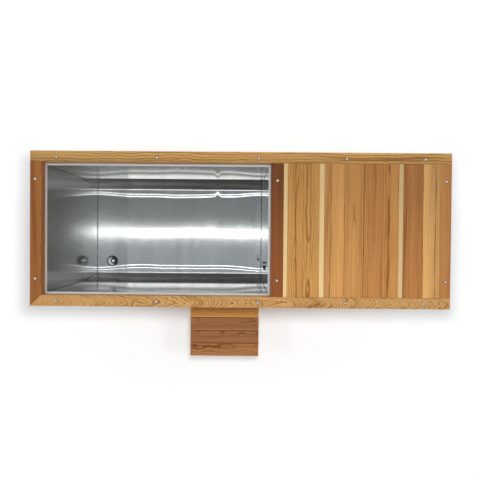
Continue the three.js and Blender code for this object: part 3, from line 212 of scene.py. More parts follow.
# Basin: place of its folds, in metres
BASIN_LOW, BASIN_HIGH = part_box("basin_shell")
FLANGE_WIDTH = 0.032
SHEET = 0.003
BASIN_LEAN = 0.038
BASIN_LEAN_HEIGHT = 0.24
BASIN_LEFT = BASIN_LOW[0] + FLANGE_WIDTH
BASIN_RIGHT = BASIN_HIGH[0] - FLANGE_WIDTH
BASIN_MIDDLE_X = (BASIN_LEFT + BASIN_RIGHT) / 2
BASIN_HALF_LENGTH = (BASIN_RIGHT - BASIN_LEFT) / 2
BASIN_MIDDLE_Y = (BASIN_LOW[1] + BASIN_HIGH[1]) / 2
BASIN_RIM_HALF = (BASIN_HIGH[1] - BASIN_LOW[1]) / 2 - FLANGE_WIDTH
BASIN_FLOOR_HALF = BASIN_RIM_HALF - BASIN_LEAN
BASIN_FLOOR_Z = BASIN_LOW[2] + SHEET
BASIN_KINK_Z = BASIN_FLOOR_Z + BASIN_LEAN_HEIGHT
BASIN_RIM_Z = BASIN_HIGH[2]

# Finish of the steel: shine is the share that mirrors, the rest being the brushing's own scatter
FLOOR_SHINE = 0.89
LEFT_SHINE = 0.97
RIGHT_SHINE = 0.84
LONG_SHINE = 0.6
LEAN_SHINE = 0.95  # the lower parts of the long walls, which lean in
FLOOR_ROUGH = 0.05
END_ROUGH = 0.07  # roughness of the walls beyond the floor's
LONG_ROUGH = 0.035
LEAN_ROUGH = 0.12
STREAK_TONE = 0.34  # how much the cross streaks of the floor differ in shade
# The tones are painted light and shade: each wall's steel is painted lighter or darker, and the left and
# long walls darker towards the rim, for the light each shows
LEFT_TONE = (0.9, 0.70)  # shade at the foot and at the rim
RIGHT_TONE = 1.14
LONG_TONE = (1.16, 0.52)
LEAN_TONE = 0.34
RIM_SATIN = 0.009  # satin-ground edge of the rim, from the wall outwards
RIM_SATIN_SOFT = 0.004
RIM_DEPTH = (0.004, 0.002)  # below the rim's top: none of the satin to here, all of it from there
FLOOR_REACH = (0.02, 0.01)  # above the floor: none of its creases from here, all of them below there

# Marks in the steel: waves in a metre along X, Y and Z
SHEET_WAVES = (1.7, 3.0, 3.0)
BRUSHING_WAVES = (6.0, 700.0, 700.0)
SMUDGE_WAVES = (14.0, 5.0, 5.0)
STEEL_CLOUD_WAVES = (6.5, 1.6, 1.6)
STREAK_WAVES = (11.0, 0.9, 0.9)
STAIN_WAVES = 27.0

# Shape of the pressed floor: slopes of its surface, and where they lie, in metres
SHEET_WAVE = 0.006  # waviness of the sheet
CREASE_SLOPE = 0.078  # steepest slope of the crease along each long fold
CREASE_INSET = 0.048  # crease from the fold, at the middle of the floor
CREASE_RAMP = 0.034  # the floor's rise to the crease
CREASE_WIDTH = 0.015  # from the crease to the strip beside the fold
CREASE_STRAIGHT = 0.55  # share of the half length over which the crease keeps its inset
CREASE_DRAW = 0.018  # how much closer to the fold the crease ends
CREASE_WANDER = 0.02
CREASE_WAVES = 3.1
CREASE_SEED = 4.2
STRIP_SLOPE = 0.036  # slope of the strip between crease and fold
FOLD_SLOPE = 0.06  # slope of the fold's own radius
FOLD_WIDTH = 0.010
DENT_X = -0.18  # where the rear crease has a small dent
DENT_WIDTH = 0.03
DENT_SHIFT = 0.02
DENT_START = 0.1  # behind the basin's middle line, so that the front crease has none

# Drain
DRAIN_BOWL_RADIUS = 0.0265
DRAIN_RIM_RADIUS = 0.042
DRAIN_RIM_DARK = 0.009  # width of the dark band round the rim's outer edge
DRAIN_SOFT = 0.0015
DRAIN_RAGGED = 0.002  # uneven edge of the dark bands
DRAIN_SHADED_SIDE = 0.2  # painted shade on one side of the ring
STOPPER_KNOB_RADIUS = 0.0115
KNOB_BRIGHT = 0.8  # share of the knob's radius that is bright all round

# Trim screws: pan heads with a hexagon socket
SCREW_RADIUS = 0.007
SCREW_HEIGHT = 0.0035
SCREW_SINK = 0.0002  # the head's edge below the rail's face
SCREW_DOME = ((1.0, 0.3), (0.93, 0.62), (0.75, 0.88), (0.52, 1.0))  # shares of radius and height
SCREW_SIDES = 24
SOCKET_RADIUS = 0.0034
SOCKET_DEPTH = 0.0025
SOCKET_SIDES = 6
SCREW_HOLE_RADIUS = 0.0105  # dark ring of painted shade round each head
SCREW_HOLE_BEVEL = 0.0006
SCREW_HOLE_LIFT = 0.0003
SCREW_HOLE_TUCK = 0.0005  # its inner edge under the head
LONG_RAIL_SCREWS = (-1.049, -0.475, 0.104, 0.604, 1.049)
SHORT_RAIL_SCREWS = (-0.287, 0.282)
REAR_SCREW_SHIFT = 0.006  # the rear rail's screws, from its middle towards the front

# Welds: overlapping beads along the seams of the basin
BEAD_RADIUS = 0.0046
BEAD_PITCH = 0.0046
BEAD_SIDES = 8
BEAD_LIFT = 0.0004
BEAD_FOOT = 0.3  # shares of the radius: depth of the foot, width and height of the crown
BEAD_CROWN_WIDTH = 0.6
BEAD_CROWN_HEIGHT = 0.35
SEAM_TILT = 0.15  # the leaning seams face up a little

# Marks of the other finishes: waves in a metre
PLY_WARP_WAVES = (2.2, 5.0, 4.0)
PLY_FIBRE_WAVES = (22.0, 420.0, 420.0)
PLY_RINGS = 14.0
SCREW_SHADE_WAVES = (300.0, 300.0, 0.0)
BEAD_WAVES = 48.0
BURN_WAVES = 9.0
WATER_MARK_WAVES = 160.0
TOOL_MARK_WAVES = (30.0, 30.0, 960.0)
HANDLING_WAVES = 240.0
MOULD_GRAIN_WAVES = 1400.0
MOULD_CLOUD_WAVES = 16.0
SCUFF_WAVES = 120.0
PEEL_WAVES = 420.0
DUST_WAVES = 7.0
FOAM_CELL_WAVES = 520.0
FOAM_CLOUD_WAVES = 8.0
PAPER_FIBRE_WAVES = 300.0
PAPER_CLOUD_WAVES = 20.0

# Depth of fine relief, in metres
WOOD_RELIEF = 0.00035
FIBRE_RELIEF = 0.0003
WELD_RELIEF = 0.0006
CHROME_RELIEF = 0.00005
TOOL_MARK_RELIEF = 0.00003
MOULD_RELIEF = 0.0001
SMOOTH_MOULD_RELIEF = 0.00004
PEEL_RELIEF = 0.0002
FOAM_RELIEF = 0.0006

AXES = {"X": 0, "Y": 1, "Z": 2}


class Tree:
    """A node tree, with one short call for each kind of node."""

    def __init__(self, node_tree):
        self.nodes = node_tree.nodes
        self.links = node_tree.links
        self.nodes.clear()

    def put(self, socket, value):
        """Links a socket to an output, or sets its own value."""
        if isinstance(value, bpy.types.NodeSocket):
            self.links.new(value, socket)
        elif hasattr(value, "__len__") and len(value) == 3 and len(socket.default_value) == 4:
            socket.default_value = (*value, 1.0)
        else:
            socket.default_value = value

    def node(self, kind, **values):
        """A new node, with its sockets set or linked by name."""
        node = self.nodes.new("ShaderNode" + kind)
        for name, value in values.items():
            self.put(node.inputs[name.replace("_", " ")], value)
        return node

    def math(self, operation, a, b=0.0):
        node = self.node("Math")
        node.operation = operation
        self.put(node.inputs[0], a)
        self.put(node.inputs[1], b)
        return node.outputs[0]

    def add(self, a, b):
        return self.math("ADD", a, b)

    def subtract(self, a, b):
        return self.math("SUBTRACT", a, b)

    def times(self, a, b):
        return self.math("MULTIPLY", a, b)

    def size(self, a):
        return self.math("ABSOLUTE", a)

    def larger(self, a, b):
        return self.math("MAXIMUM", a, b)

    def length(self, x, y):
        """Length of a flat vector."""
        return self.math("SQRT", self.add(self.times(x, x), self.times(y, y)))

    def weighted(self, base, *marks):
        """A base value, with each mark added by its weight."""
        total = base
        for mark, weight in marks:
            total = self.add(total, self.times(mark, weight))
        return total

    def swing(self, noise, span):
        """Noise that swings about zero over a span."""
        return self.times(self.add(noise, -0.5), span)

    def vector(self, operation, a, b=(0.0, 0.0, 0.0)):
        node = self.node("VectorMath")
        node.operation = operation
        self.put(node.inputs[0], a)
        self.put(node.inputs[1], b)
        return node.outputs["Vector"]

    def scaled(self, vector, factor):
        node = self.node("VectorMath")
        node.operation = "SCALE"
        self.put(node.inputs[0], vector)
        self.put(node.inputs["Scale"], factor)
        return node.outputs["Vector"]

    def split(self, vector):
        return self.node("SeparateXYZ", Vector=vector).outputs[:3]

    def join(self, x, y, z):
        return self.node("CombineXYZ", X=x, Y=y, Z=z).outputs[0]

    def noise(self, vector, detail=2.0, roughness=0.5, output="Fac"):
        node = self.node("TexNoise", Vector=vector, Scale=1.0, Detail=detail, Roughness=roughness)
        return node.outputs[output]

    def random(self, value):
        node = self.node("TexWhiteNoise")
        node.noise_dimensions = "1D"
        self.put(node.inputs["W"], value)
        return node.outputs["Value"]

    def ease(self, value, start, end, low=0.0, high=1.0):
        """Smooth step of value from low at start to high at end; start may be above end."""
        if start > end:
            start, end, low, high = end, start, high, low
        node = self.node("MapRange", Value=value, From_Min=start, From_Max=end, To_Min=low, To_Max=high)
        node.interpolation_type = "SMOOTHSTEP"
        return node.outputs["Result"]

    def blend(self, factor, a, b):
        """Colour a where factor is 0 and b where it is 1."""
        node = self.node("Mix", Factor=factor)
        node.data_type = "RGBA"
        self.put(node.inputs[6], a)
        self.put(node.inputs[7], b)
        return node.outputs[2]

    def geometry(self, output):
        return self.node("NewGeometry").outputs[output]

    def light_path(self):
        return self.node("LightPath").outputs


class Finish(Tree):
    """A new material, drawn in the object's own coordinates."""

    def __init__(self, name):
        self.material = bpy.data.materials.new(name)
        self.material.use_nodes = True
        super().__init__(self.material.node_tree)
        self.output = self.node("OutputMaterial")
        self.point = self.node("TexCoord").outputs["Object"]

    def stretched(self, waves):
        """The coordinates, with so many waves in a metre along X, Y and Z, or every way alike."""
        each = waves if isinstance(waves, tuple) else (waves, waves, waves)
        return self.vector("MULTIPLY", self.point, each)

    def marks(self, waves, detail=2.0, roughness=0.5, output="Fac"):
        return self.noise(self.stretched(waves), detail, roughness, output)

    def cells(self, waves):
        """Distance from the middles of scattered cells."""
        return self.node("TexVoronoi", Vector=self.stretched(waves), Scale=1.0).outputs["Distance"]

    def bump(self, height, distance):
        return self.node("Bump", Strength=1.0, Distance=distance, Height=height).outputs[0]

    def principled(self, **sockets):
        shader = self.node("BsdfPrincipled", **sockets)
        self.put(self.output.inputs["Surface"], shader.outputs[0])
        return self.material


def tinted(colour, shares):
    """A colour with its red, green and blue each taken by a share."""
    return tuple(part * share for part, share in zip(colour, shares))


def edge_wear_and_sheen(tree):
    """1 on the narrow slanted faces of eased edges and 0 on the broad faces."""
    x, y, z = tree.split(tree.vector("ABSOLUTE", tree.geometry("True Normal")))
    widest = tree.larger(tree.larger(x, y), z)
    return tree.ease(widest, *EDGE_LEAN)


def face_marks(tree, across, along, waves, seed, detail=2.0):
    """Noise over a board's face, with so many waves in a metre across and along it."""
    return tree.noise(tree.join(tree.times(across, waves[0]), tree.times(along, waves[1]), seed), detail)


def length_marks(tree, along, waves, seed, detail=1.0):
    """Noise that changes along a board only."""
    return tree.noise(tree.join(tree.times(along, waves), seed, 0.0), detail)


def ring_field(tree, across, along, below, pith, seed, figure, drift):
    """Distance from the trunk's heart at each point of a board, with the trunk's own bends and waves."""
    side, depth, sway, dive = pith
    bend = length_marks(tree, along, BEND_WAVES, seed)
    slope = length_marks(tree, along, DIVE_WAVES, seed + SEED_SHIFTS["dive"])
    runout = length_marks(tree, along, RUNOUT_WAVES, seed + SEED_SHIFTS["runout"])
    waves = face_marks(tree, across, along, FIGURE_WAVES, seed + SEED_SHIFTS["figure"], 2.5)
    jags = face_marks(tree, across, along, JAG_WAVES, seed)
    sideways = tree.add(tree.add(across, -side), tree.swing(bend, sway))
    deep = tree.add(tree.add(below, depth), tree.swing(slope, dive))
    radius = tree.add(tree.length(sideways, deep), tree.swing(waves, figure))
    radius = tree.weighted(radius, (tree.weighted(along, (runout, RUNOUT)), drift))
    return tree.add(radius, tree.swing(jags, JAGS + DRIFT_JAGS * drift))


def timber(tree, across, along, below, heart, pith, ring, seed, contrast, figure=FIGURE, drift=0.0):
    """Colour, shade and relief of heartwood with its year rings, bands and fibres."""
    radius = ring_field(tree, across, along, below, pith, seed, figure, drift)
    phase = tree.math("FRACT", tree.math("DIVIDE", radius, ring))
    late = tree.times(tree.ease(phase, *LATE_WOOD), tree.ease(phase, *RING_END))
    outwards, lengthways = BAND_WAVES
    band_place = tree.join(tree.times(radius, outwards), seed, tree.times(along, lengthways))
    bands = tree.noise(band_place, 3.0, 0.6)
    fibre = face_marks(tree, across, along, FIBRE_WAVES, tree.times(below, FIBRE_WAVES[0]), 3.0)
    pores = tree.ease(face_marks(tree, across, along, PORE_WAVES, seed, 1.0), *PORE_CUT)
    cloud = face_marks(tree, across, along, CLOUD_WAVES, seed + SEED_SHIFTS["cloud"])
    growth = face_marks(tree, across, along, GROWTH_WAVES, seed + SEED_SHIFTS["growth"])
    dark = tinted(heart, LATE_SHARES)
    pale = tuple(min(part, PALEST) for part in tinted(heart, EARLY_SHARES))
    colour = tree.blend(tree.ease(bands, *BAND_CUT), pale, heart)
    weight = tree.weighted(tree.times(late, 0.6), (tree.ease(bands, *DARK_BAND_CUT), 0.5))
    weight = tree.times(weight, tree.ease(growth, *GROWTH_CUT, *GROWTH))
    colour = tree.blend(tree.times(weight, contrast), colour, dark)
    shade = tree.weighted(0.86, (fibre, 0.16), (cloud, 0.12), (pores, -0.16))
    relief = tree.weighted(tree.times(late, 0.35), (fibre, 0.5), (pores, -0.5))
    return colour, shade, relief


def oiled(tree, colour, shade, relief, rough):
    """Finishes a timber material with a thin coat of oil."""
    return tree.principled(
        Base_Color=tree.scaled(colour, shade),
        Roughness=tree.weighted(rough, (relief, 0.12)),
        Specular_IOR_Level=WOOD_SPECULAR,
        Normal=tree.bump(relief, WOOD_RELIEF),
    )


def wood(name, node, length_axis, heart, pith, seed, ring=RING_WIDTH, contrast=CONTRAST, figure=FIGURE,
         drift=0.0, sapwood_and_highlight=None, streaks=(), end_to_end_shade=EVEN, slant=EVEN, joint=0.0, rough=WOOD_ROUGH):
    """Oiled board along an axis.

    pith = (sideways place, depth, sideways bends, bends in depth) of the trunk's heart;
    figure = wave of the grain; drift = how fast the rings run out along the board, in steep arches;
    sapwood_and_highlight = (side, width, colour) of the pale edge: sapwood on the deck boards, a painted
    highlight along the front edge on the step's treads; streaks = (across, width, strength) of dark lines;
    end_to_end_shade and slant = shade from one end, or one edge, to the other, which on the deck is painted
    light;
    joint = width of the dirt line along each long edge.
    """
    low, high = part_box(node)
    tree = Finish(name)
    parts = tree.split(tree.point)
    along_axis = AXES[length_axis]
    spans = [(high[i] - low[i], i) for i in range(3) if i != along_axis]
    width, across_axis = max(spans)
    below_axis = min(spans)[1]
    half = width / 2
    across = tree.add(parts[across_axis], -(low[across_axis] + high[across_axis]) / 2)
    along = parts[along_axis]
    below = tree.subtract(high[below_axis], parts[below_axis])
    colour, shade, relief = timber(
        tree, across, along, below, heart, pith, ring, seed, contrast, figure, drift
    )
    wave = face_marks(tree, along, across, SWAY_WAVES, seed + SEED_SHIFTS["sway"], 3.0)
    sway = tree.swing(wave, SWAY)
    for place, reach, strength in streaks:
        off = tree.size(tree.weighted(tree.add(across, -place), (sway, STREAK_SWAY)))
        fade = length_marks(tree, along, FADE_WAVES, seed + place * STREAK_SEED_SHARE, 2.0)
        mark = tree.times(tree.ease(off, reach, 0.0), tree.ease(fade, *FADE_CUT, *FADE))
        colour = tree.blend(tree.times(mark, strength), colour, RESIN)
    # pale edge: sapwood on the deck boards, a painted highlight on the step's treads
    if sapwood_and_highlight is not None:
        side, reach, edge_colour = sapwood_and_highlight
        edge = half - reach
        place = tree.weighted(tree.times(across, side), (sway, PALE_EDGE_SWAY))
        colour = tree.blend(tree.ease(place, edge - PALE_EDGE_SOFT, edge + PALE_EDGE_SOFT), colour, edge_colour)
    if end_to_end_shade != EVEN:
        shade = tree.times(shade, tree.ease(along, low[along_axis], high[along_axis], *end_to_end_shade))
    if slant != EVEN:
        shade = tree.times(shade, tree.ease(across, -half, half, *slant))
    # the eased edges are painted paler: partly wear, partly a painted highlight
    shade = tree.weighted(shade, (edge_wear_and_sheen(tree), EDGE_PALE))
    if joint > 0.0:
        inside = tree.subtract(half, tree.size(across))
        shade = tree.times(shade, tree.ease(inside, joint, 2 * joint, JOINT_SHADE, 1.0))
    return oiled(tree, colour, shade, relief, rough)


def cladding(name, node, across_axis, boards, heart, seed):
    """Upright boards, each cut from its own place in a trunk, with a little more weathering at the foot."""
    low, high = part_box(node)
    tree = Finish(name)
    parts = tree.split(tree.point)
    axis = AXES[across_axis]
    thin_axis = 1 - axis
    pitch = (high[axis] - low[axis]) / boards
    place = tree.math("DIVIDE", tree.add(parts[axis], -low[axis]), pitch)
    index = tree.math("FLOOR", place)
    chance = tree.random(tree.add(index, seed))
    other = tree.random(tree.add(index, seed + SEED_SHIFTS["board"]))
    across = tree.add(tree.swing(tree.math("FRACT", place), pitch), tree.swing(other, TRUNK_WIDTH))
    along = tree.weighted(parts[2], (chance, TRUNK_LENGTH))
    below = tree.size(tree.add(parts[thin_axis], -(low[thin_axis] + high[thin_axis]) / 2))
    colour, shade, relief = timber(
        tree, across, along, below, heart, CLADDING_PITH, RING_WIDTH, seed, CLADDING_CONTRAST
    )
    colour = tree.blend(tree.ease(other, *RED_BOARDS, 0.0, RED_MOST), colour, REDDISH)
    shade = tree.times(shade, tree.weighted(0.82, (chance, 0.34)))
    foot = face_marks(tree, parts[axis], parts[2], DAMP_WAVES, seed, 3.0)
    damp = tree.ease(tree.weighted(parts[2], (foot, DAMP_EDGE)), *DAMP_HEIGHT, DAMP_SHADE, 1.0)
    return oiled(tree, colour, tree.times(shade, damp), relief, CLADDING_ROUGH)


def framing_wood(node, length_axis, seed):
    """Planed pale framing timber."""
    pith = (0.01, 0.04, 0.03, 0.05)
    look = dict(ring=0.005, contrast=0.45, rough=0.56)
    return wood(node + "_wood", node, length_axis, FRAMING_PALE, pith, seed, **look)


def plywood(name):
    """Sanded sheet with a rotary-cut face: broad wild figure and fine fibres."""
    tree = Finish(name)
    warp = tree.marks(PLY_WARP_WAVES, 3.0)
    figure = tree.math("FRACT", tree.times(warp, PLY_RINGS))
    fibre = tree.marks(PLY_FIBRE_WAVES, 3.0)
    colour = tree.blend(tree.times(tree.ease(figure, 0.35, 0.9), 0.6), PLY_PALE, PLY_DARK)
    return tree.principled(
        Base_Color=tree.scaled(colour, tree.weighted(0.86, (fibre, 0.28))),
        Roughness=tree.weighted(0.6, (fibre, 0.15)),
        Specular_IOR_Level=0.3,
        Normal=tree.bump(fibre, FIBRE_RELIEF),
    )


def screw_shade_wood(name):
    """Painted shade at the edge of a screw hole: dark fibrous wood standing in for the shadow in the
    countersunk hole.
    """
    tree = Finish(name)
    fibre = tree.marks(SCREW_SHADE_WAVES, 3.0)
    return tree.principled(
        Base_Color=tree.blend(fibre, SCREW_SHADE_DARK, SCREW_SHADE_PALE),
        Roughness=tree.weighted(0.6, (fibre, 0.2)),
        Specular_IOR_Level=0.25,
        Normal=tree.bump(fibre, FIBRE_RELIEF),
    )


def floor_rise(tree, x, y):
    """Sideways slope of the floor: flat in the middle, with a crease and a radius along each long fold."""
    local = tree.add(y, -BASIN_MIDDLE_Y)
    side = tree.math("SIGN", local)
    wander = tree.noise(tree.join(tree.times(x, CREASE_WAVES), side, CREASE_SEED), 2.0)
    dent = tree.ease(tree.size(tree.add(x, -DENT_X)), DENT_WIDTH, 0.0, 0.0, DENT_SHIFT)
    dent = tree.times(dent, tree.ease(local, 0.0, DENT_START))
    from_middle = tree.size(tree.add(x, -BASIN_MIDDLE_X))
    straight = BASIN_HALF_LENGTH * CREASE_STRAIGHT
    ends = tree.ease(from_middle, straight, BASIN_HALF_LENGTH, 0.0, CREASE_DRAW)
    fold = tree.subtract(BASIN_FLOOR_HALF, tree.size(local))
    inset = tree.add(fold, tree.add(tree.swing(wander, CREASE_WANDER), tree.add(dent, ends)))
    rising = tree.ease(inset, CREASE_INSET + CREASE_RAMP, CREASE_INSET, 0.0, CREASE_SLOPE)
    settling = tree.ease(inset, CREASE_INSET, CREASE_INSET - CREASE_WIDTH, 0.0, CREASE_SLOPE - STRIP_SLOPE)
    radius = tree.ease(fold, FOLD_WIDTH, 0.0, 0.0, FOLD_SLOPE)
    slope = tree.add(tree.subtract(rising, settling), radius)
    return tree.times(tree.times(slope, side), -1.0)


def satin_rim(tree, x, y, z, up):
    """1 on the satin-ground inner edge of the basin's rim."""
    beyond_x = tree.larger(tree.subtract(BASIN_LEFT, x), tree.add(x, -BASIN_RIGHT))
    beyond_y = tree.add(tree.size(tree.add(y, -BASIN_MIDDLE_Y)), -BASIN_RIM_HALF)
    beyond = tree.larger(beyond_x, beyond_y)
    high_up = tree.ease(z, *(BASIN_RIM_Z - depth for depth in RIM_DEPTH))
    rim = tree.times(tree.ease(up, 0.9, 0.96), high_up)
    return tree.times(rim, tree.ease(beyond, RIM_SATIN + RIM_SATIN_SOFT, RIM_SATIN))


def steel_zones(tree, z, right_facing, rear_facing, up):
    """The walls of the basin: where each is, and its shine, added roughness and painted light and shade."""
    left_wall = tree.ease(right_facing, 0.9, 0.98)
    right_wall = tree.ease(right_facing, -0.9, -0.98)
    long_wall = tree.ease(tree.size(rear_facing), 0.99, 0.995)
    leaning = tree.times(tree.ease(up, 0.05, 0.1), tree.ease(up, 0.35, 0.25))
    left_tone = tree.ease(z, BASIN_FLOOR_Z, BASIN_RIM_Z, *LEFT_TONE)
    long_tone = tree.ease(z, BASIN_KINK_Z, BASIN_RIM_Z, *LONG_TONE)
    return (
        (left_wall, LEFT_SHINE, END_ROUGH, left_tone),
        (right_wall, RIGHT_SHINE, END_ROUGH, RIGHT_TONE),
        (long_wall, LONG_SHINE, LONG_ROUGH, long_tone),
        (leaning, LEAN_SHINE, LEAN_ROUGH, LEAN_TONE),
    )


def stainless(name):
    """Polished sheet with fine brushing, waviness, smudges, a finish for each wall with its painted light
    and shade, and a satin rim.
    """
    tree = Finish(name)
    x, y, z = tree.split(tree.point)
    normal = tree.geometry("Normal")
    right_facing, rear_facing, up = tree.split(normal)
    low_down = tree.ease(z, *(BASIN_FLOOR_Z + reach for reach in FLOOR_REACH))
    on_floor = tree.times(tree.ease(up, 0.96, 0.99), low_down)
    wave = tree.marks(SHEET_WAVES, 1.0, 0.4, "Color")
    wave = tree.scaled(tree.vector("SUBTRACT", wave, (0.5, 0.5, 0.5)), SHEET_WAVE)
    rise = tree.join(0.0, tree.times(floor_rise(tree, x, y), on_floor), 0.0)
    bent = tree.vector("NORMALIZE", tree.vector("ADD", normal, tree.vector("ADD", wave, rise)))
    brushing = tree.marks(BRUSHING_WAVES)
    smudge = tree.marks(SMUDGE_WAVES, 4.0, 0.6)
    stain = tree.marks(STAIN_WAVES, 3.0)
    cloud = tree.marks(STEEL_CLOUD_WAVES)
    streak = tree.marks(STREAK_WAVES, 3.0, 0.6)
    tone = tree.weighted(0.87, (brushing, 0.06), (stain, 0.06), (cloud, 0.12))
    tone = tree.add(tone, tree.swing(streak, tree.times(on_floor, STREAK_TONE)))
    rough = tree.weighted(FLOOR_ROUGH, (tree.ease(smudge, 0.45, 0.7), 0.02), (brushing, 0.02))
    shine = FLOOR_SHINE
    # each wall's tone paints its light and shade into the steel's colour
    for zone, zone_shine, zone_rough, zone_tone in steel_zones(tree, z, right_facing, rear_facing, up):
        shine = tree.weighted(shine, (zone, zone_shine - FLOOR_SHINE))
        rough = tree.weighted(rough, (zone, zone_rough))
        tone = tree.times(tone, tree.weighted(1.0, (zone, tree.add(zone_tone, -1.0))))
    satin = satin_rim(tree, x, y, z, up)
    return tree.principled(
        Base_Color=tree.scaled(STEEL, tone),
        Metallic=tree.weighted(shine, (satin, -0.4)),
        Roughness=tree.weighted(rough, (satin, 0.3)),
        Normal=bent,
    )


def weld_steel(name):
    """Ground weld, darkened by heat in patches."""
    tree = Finish(name)
    beads = tree.marks(BEAD_WAVES)
    patch = tree.marks(BURN_WAVES)
    burn = tree.times(tree.ease(beads, 0.46, 0.54), tree.ease(patch, 0.3, 0.55, 0.5, 1.0))
    return tree.principled(
        Base_Color=tree.blend(burn, WELD_GREY, WELD_BURN),
        Metallic=1.0,
        Roughness=tree.weighted(0.3, (burn, 0.3)),
        Normal=tree.bump(beads, WELD_RELIEF),
    )


def drain_chrome(name, node, dark_from, dark_to):
    """Turned metal round an upright axis: dark between two radii, which is painted shade in the bowl with
    some grime, dark round the rim's outer edge, and painted darker on one side as shade.
    """
    low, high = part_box(node)
    tree = Finish(name)
    middle = ((low[0] + high[0]) / 2, (low[1] + high[1]) / 2, 0.0)
    x, y = tree.split(tree.vector("SUBTRACT", tree.point, middle))[:2]
    radius = tree.length(x, y)
    marks = tree.marks(WATER_MARK_WAVES, 3.0)
    edge = tree.add(radius, tree.swing(marks, DRAIN_RAGGED))
    inner = tree.ease(edge, dark_from, dark_from + DRAIN_SOFT)
    outer = tree.ease(edge, dark_to, dark_to - DRAIN_SOFT)
    rim_start = DRAIN_RIM_RADIUS - DRAIN_RIM_DARK
    rim = tree.ease(edge, rim_start - DRAIN_SOFT, rim_start)
    # the bowl between the two radii is painted dark as shade in the recess, with grime, and a band round
    # the rim is dark too
    grime_and_shade = tree.larger(tree.times(inner, outer), rim)
    facing = tree.math("DIVIDE", tree.weighted(x, (y, 0.4)), radius)
    # painted shade: one side of the ring is painted darker
    shade = tree.ease(facing, -0.6, 0.5, 1.0, DRAIN_SHADED_SIDE)
    if dark_from > 0.0:
        shade = tree.larger(shade, tree.ease(radius, dark_from, KNOB_BRIGHT * dark_from))
    return tree.principled(
        Base_Color=tree.scaled(tree.blend(grime_and_shade, CHROME, GRIME_AND_SHADE), shade),
        Metallic=tree.ease(grime_and_shade, 0.0, 1.0, 0.1, 1.0),
        Roughness=tree.weighted(0.14, (marks, 0.08), (grime_and_shade, 0.2)),
        Normal=tree.bump(marks, CHROME_RELIEF),
    )


def metal(name, colour, rough, brushed, shine=1.0):
    """Turned or polished metal with fine tool marks and handling marks."""
    tree = Finish(name)
    marks = tree.marks(TOOL_MARK_WAVES)
    smudge = tree.marks(HANDLING_WAVES, 3.0)
    return tree.principled(
        Base_Color=tree.scaled(colour, tree.weighted(0.9, (smudge, 0.2))),
        Metallic=shine,
        Roughness=tree.weighted(rough, (smudge, 0.1), (marks, brushed)),
        Normal=tree.bump(marks, TOOL_MARK_RELIEF),
    )


def moulded(name, colour, rough, texture=MOULD_RELIEF, wear=0.1):
    """Moulded plastic: fine spark-eroded grain, faint flow clouds and rubbed edges."""
    tree = Finish(name)
    grain = tree.cells(MOULD_GRAIN_WAVES)
    cloud = tree.marks(MOULD_CLOUD_WAVES, 3.0)
    scuff = tree.ease(tree.marks(SCUFF_WAVES, 4.0, 0.7), 0.6, 0.8)
    return tree.principled(
        Base_Color=tree.scaled(colour, tree.weighted(0.86, (cloud, 0.28), (edge_wear_and_sheen(tree), wear))),
        Roughness=tree.weighted(rough, (scuff, 0.12)),
        Specular_IOR_Level=0.45,
        Normal=tree.bump(grain, texture),
    )


def powder_coat(name, colour):
    """Powder-coated sheet: orange peel, dust in clouds and rubbed edges."""
    tree = Finish(name)
    peel = tree.marks(PEEL_WAVES)
    dust = tree.marks(DUST_WAVES, 4.0, 0.6)
    return tree.principled(
        Base_Color=tree.scaled(colour, tree.weighted(0.84, (dust, 0.3), (edge_wear_and_sheen(tree), 0.25))),
        Roughness=tree.weighted(0.42, (dust, 0.14)),
        Specular_IOR_Level=0.45,
        Normal=tree.bump(peel, PEEL_RELIEF),
    )


def foam(name):
    """Closed-cell foam block with cut cells."""
    tree = Finish(name)
    cells = tree.cells(FOAM_CELL_WAVES)
    cloud = tree.marks(FOAM_CLOUD_WAVES, 3.0)
    colour = tree.blend(tree.ease(cells, 0.15, 0.6), FOAM_PALE, FOAM_CUT)
    return tree.principled(
        Base_Color=tree.scaled(colour, tree.weighted(0.88, (cloud, 0.2))),
        Roughness=tree.weighted(0.85, (cells, 0.1)),
        Specular_IOR_Level=0.2,
        Normal=tree.bump(cells, FOAM_RELIEF),
    )


def paper(name):
    """Filter paper with soft fibres."""
    tree = Finish(name)
    fibre = tree.marks(PAPER_FIBRE_WAVES, 4.0, 0.7)
    cloud = tree.marks(PAPER_CLOUD_WAVES)
    return tree.principled(
        Base_Color=tree.scaled(PAPER_WHITE, tree.weighted(0.86, (cloud, 0.2))),
        Roughness=tree.weighted(0.8, (fibre, 0.15)),
        Specular_IOR_Level=0.2,
        Normal=tree.bump(fibre, FIBRE_RELIEF),
    )


def dress(node, material):
    """Gives a node of the frame its finished material."""
    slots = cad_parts[node].data.materials
    slots.clear()
    slots.append(material)


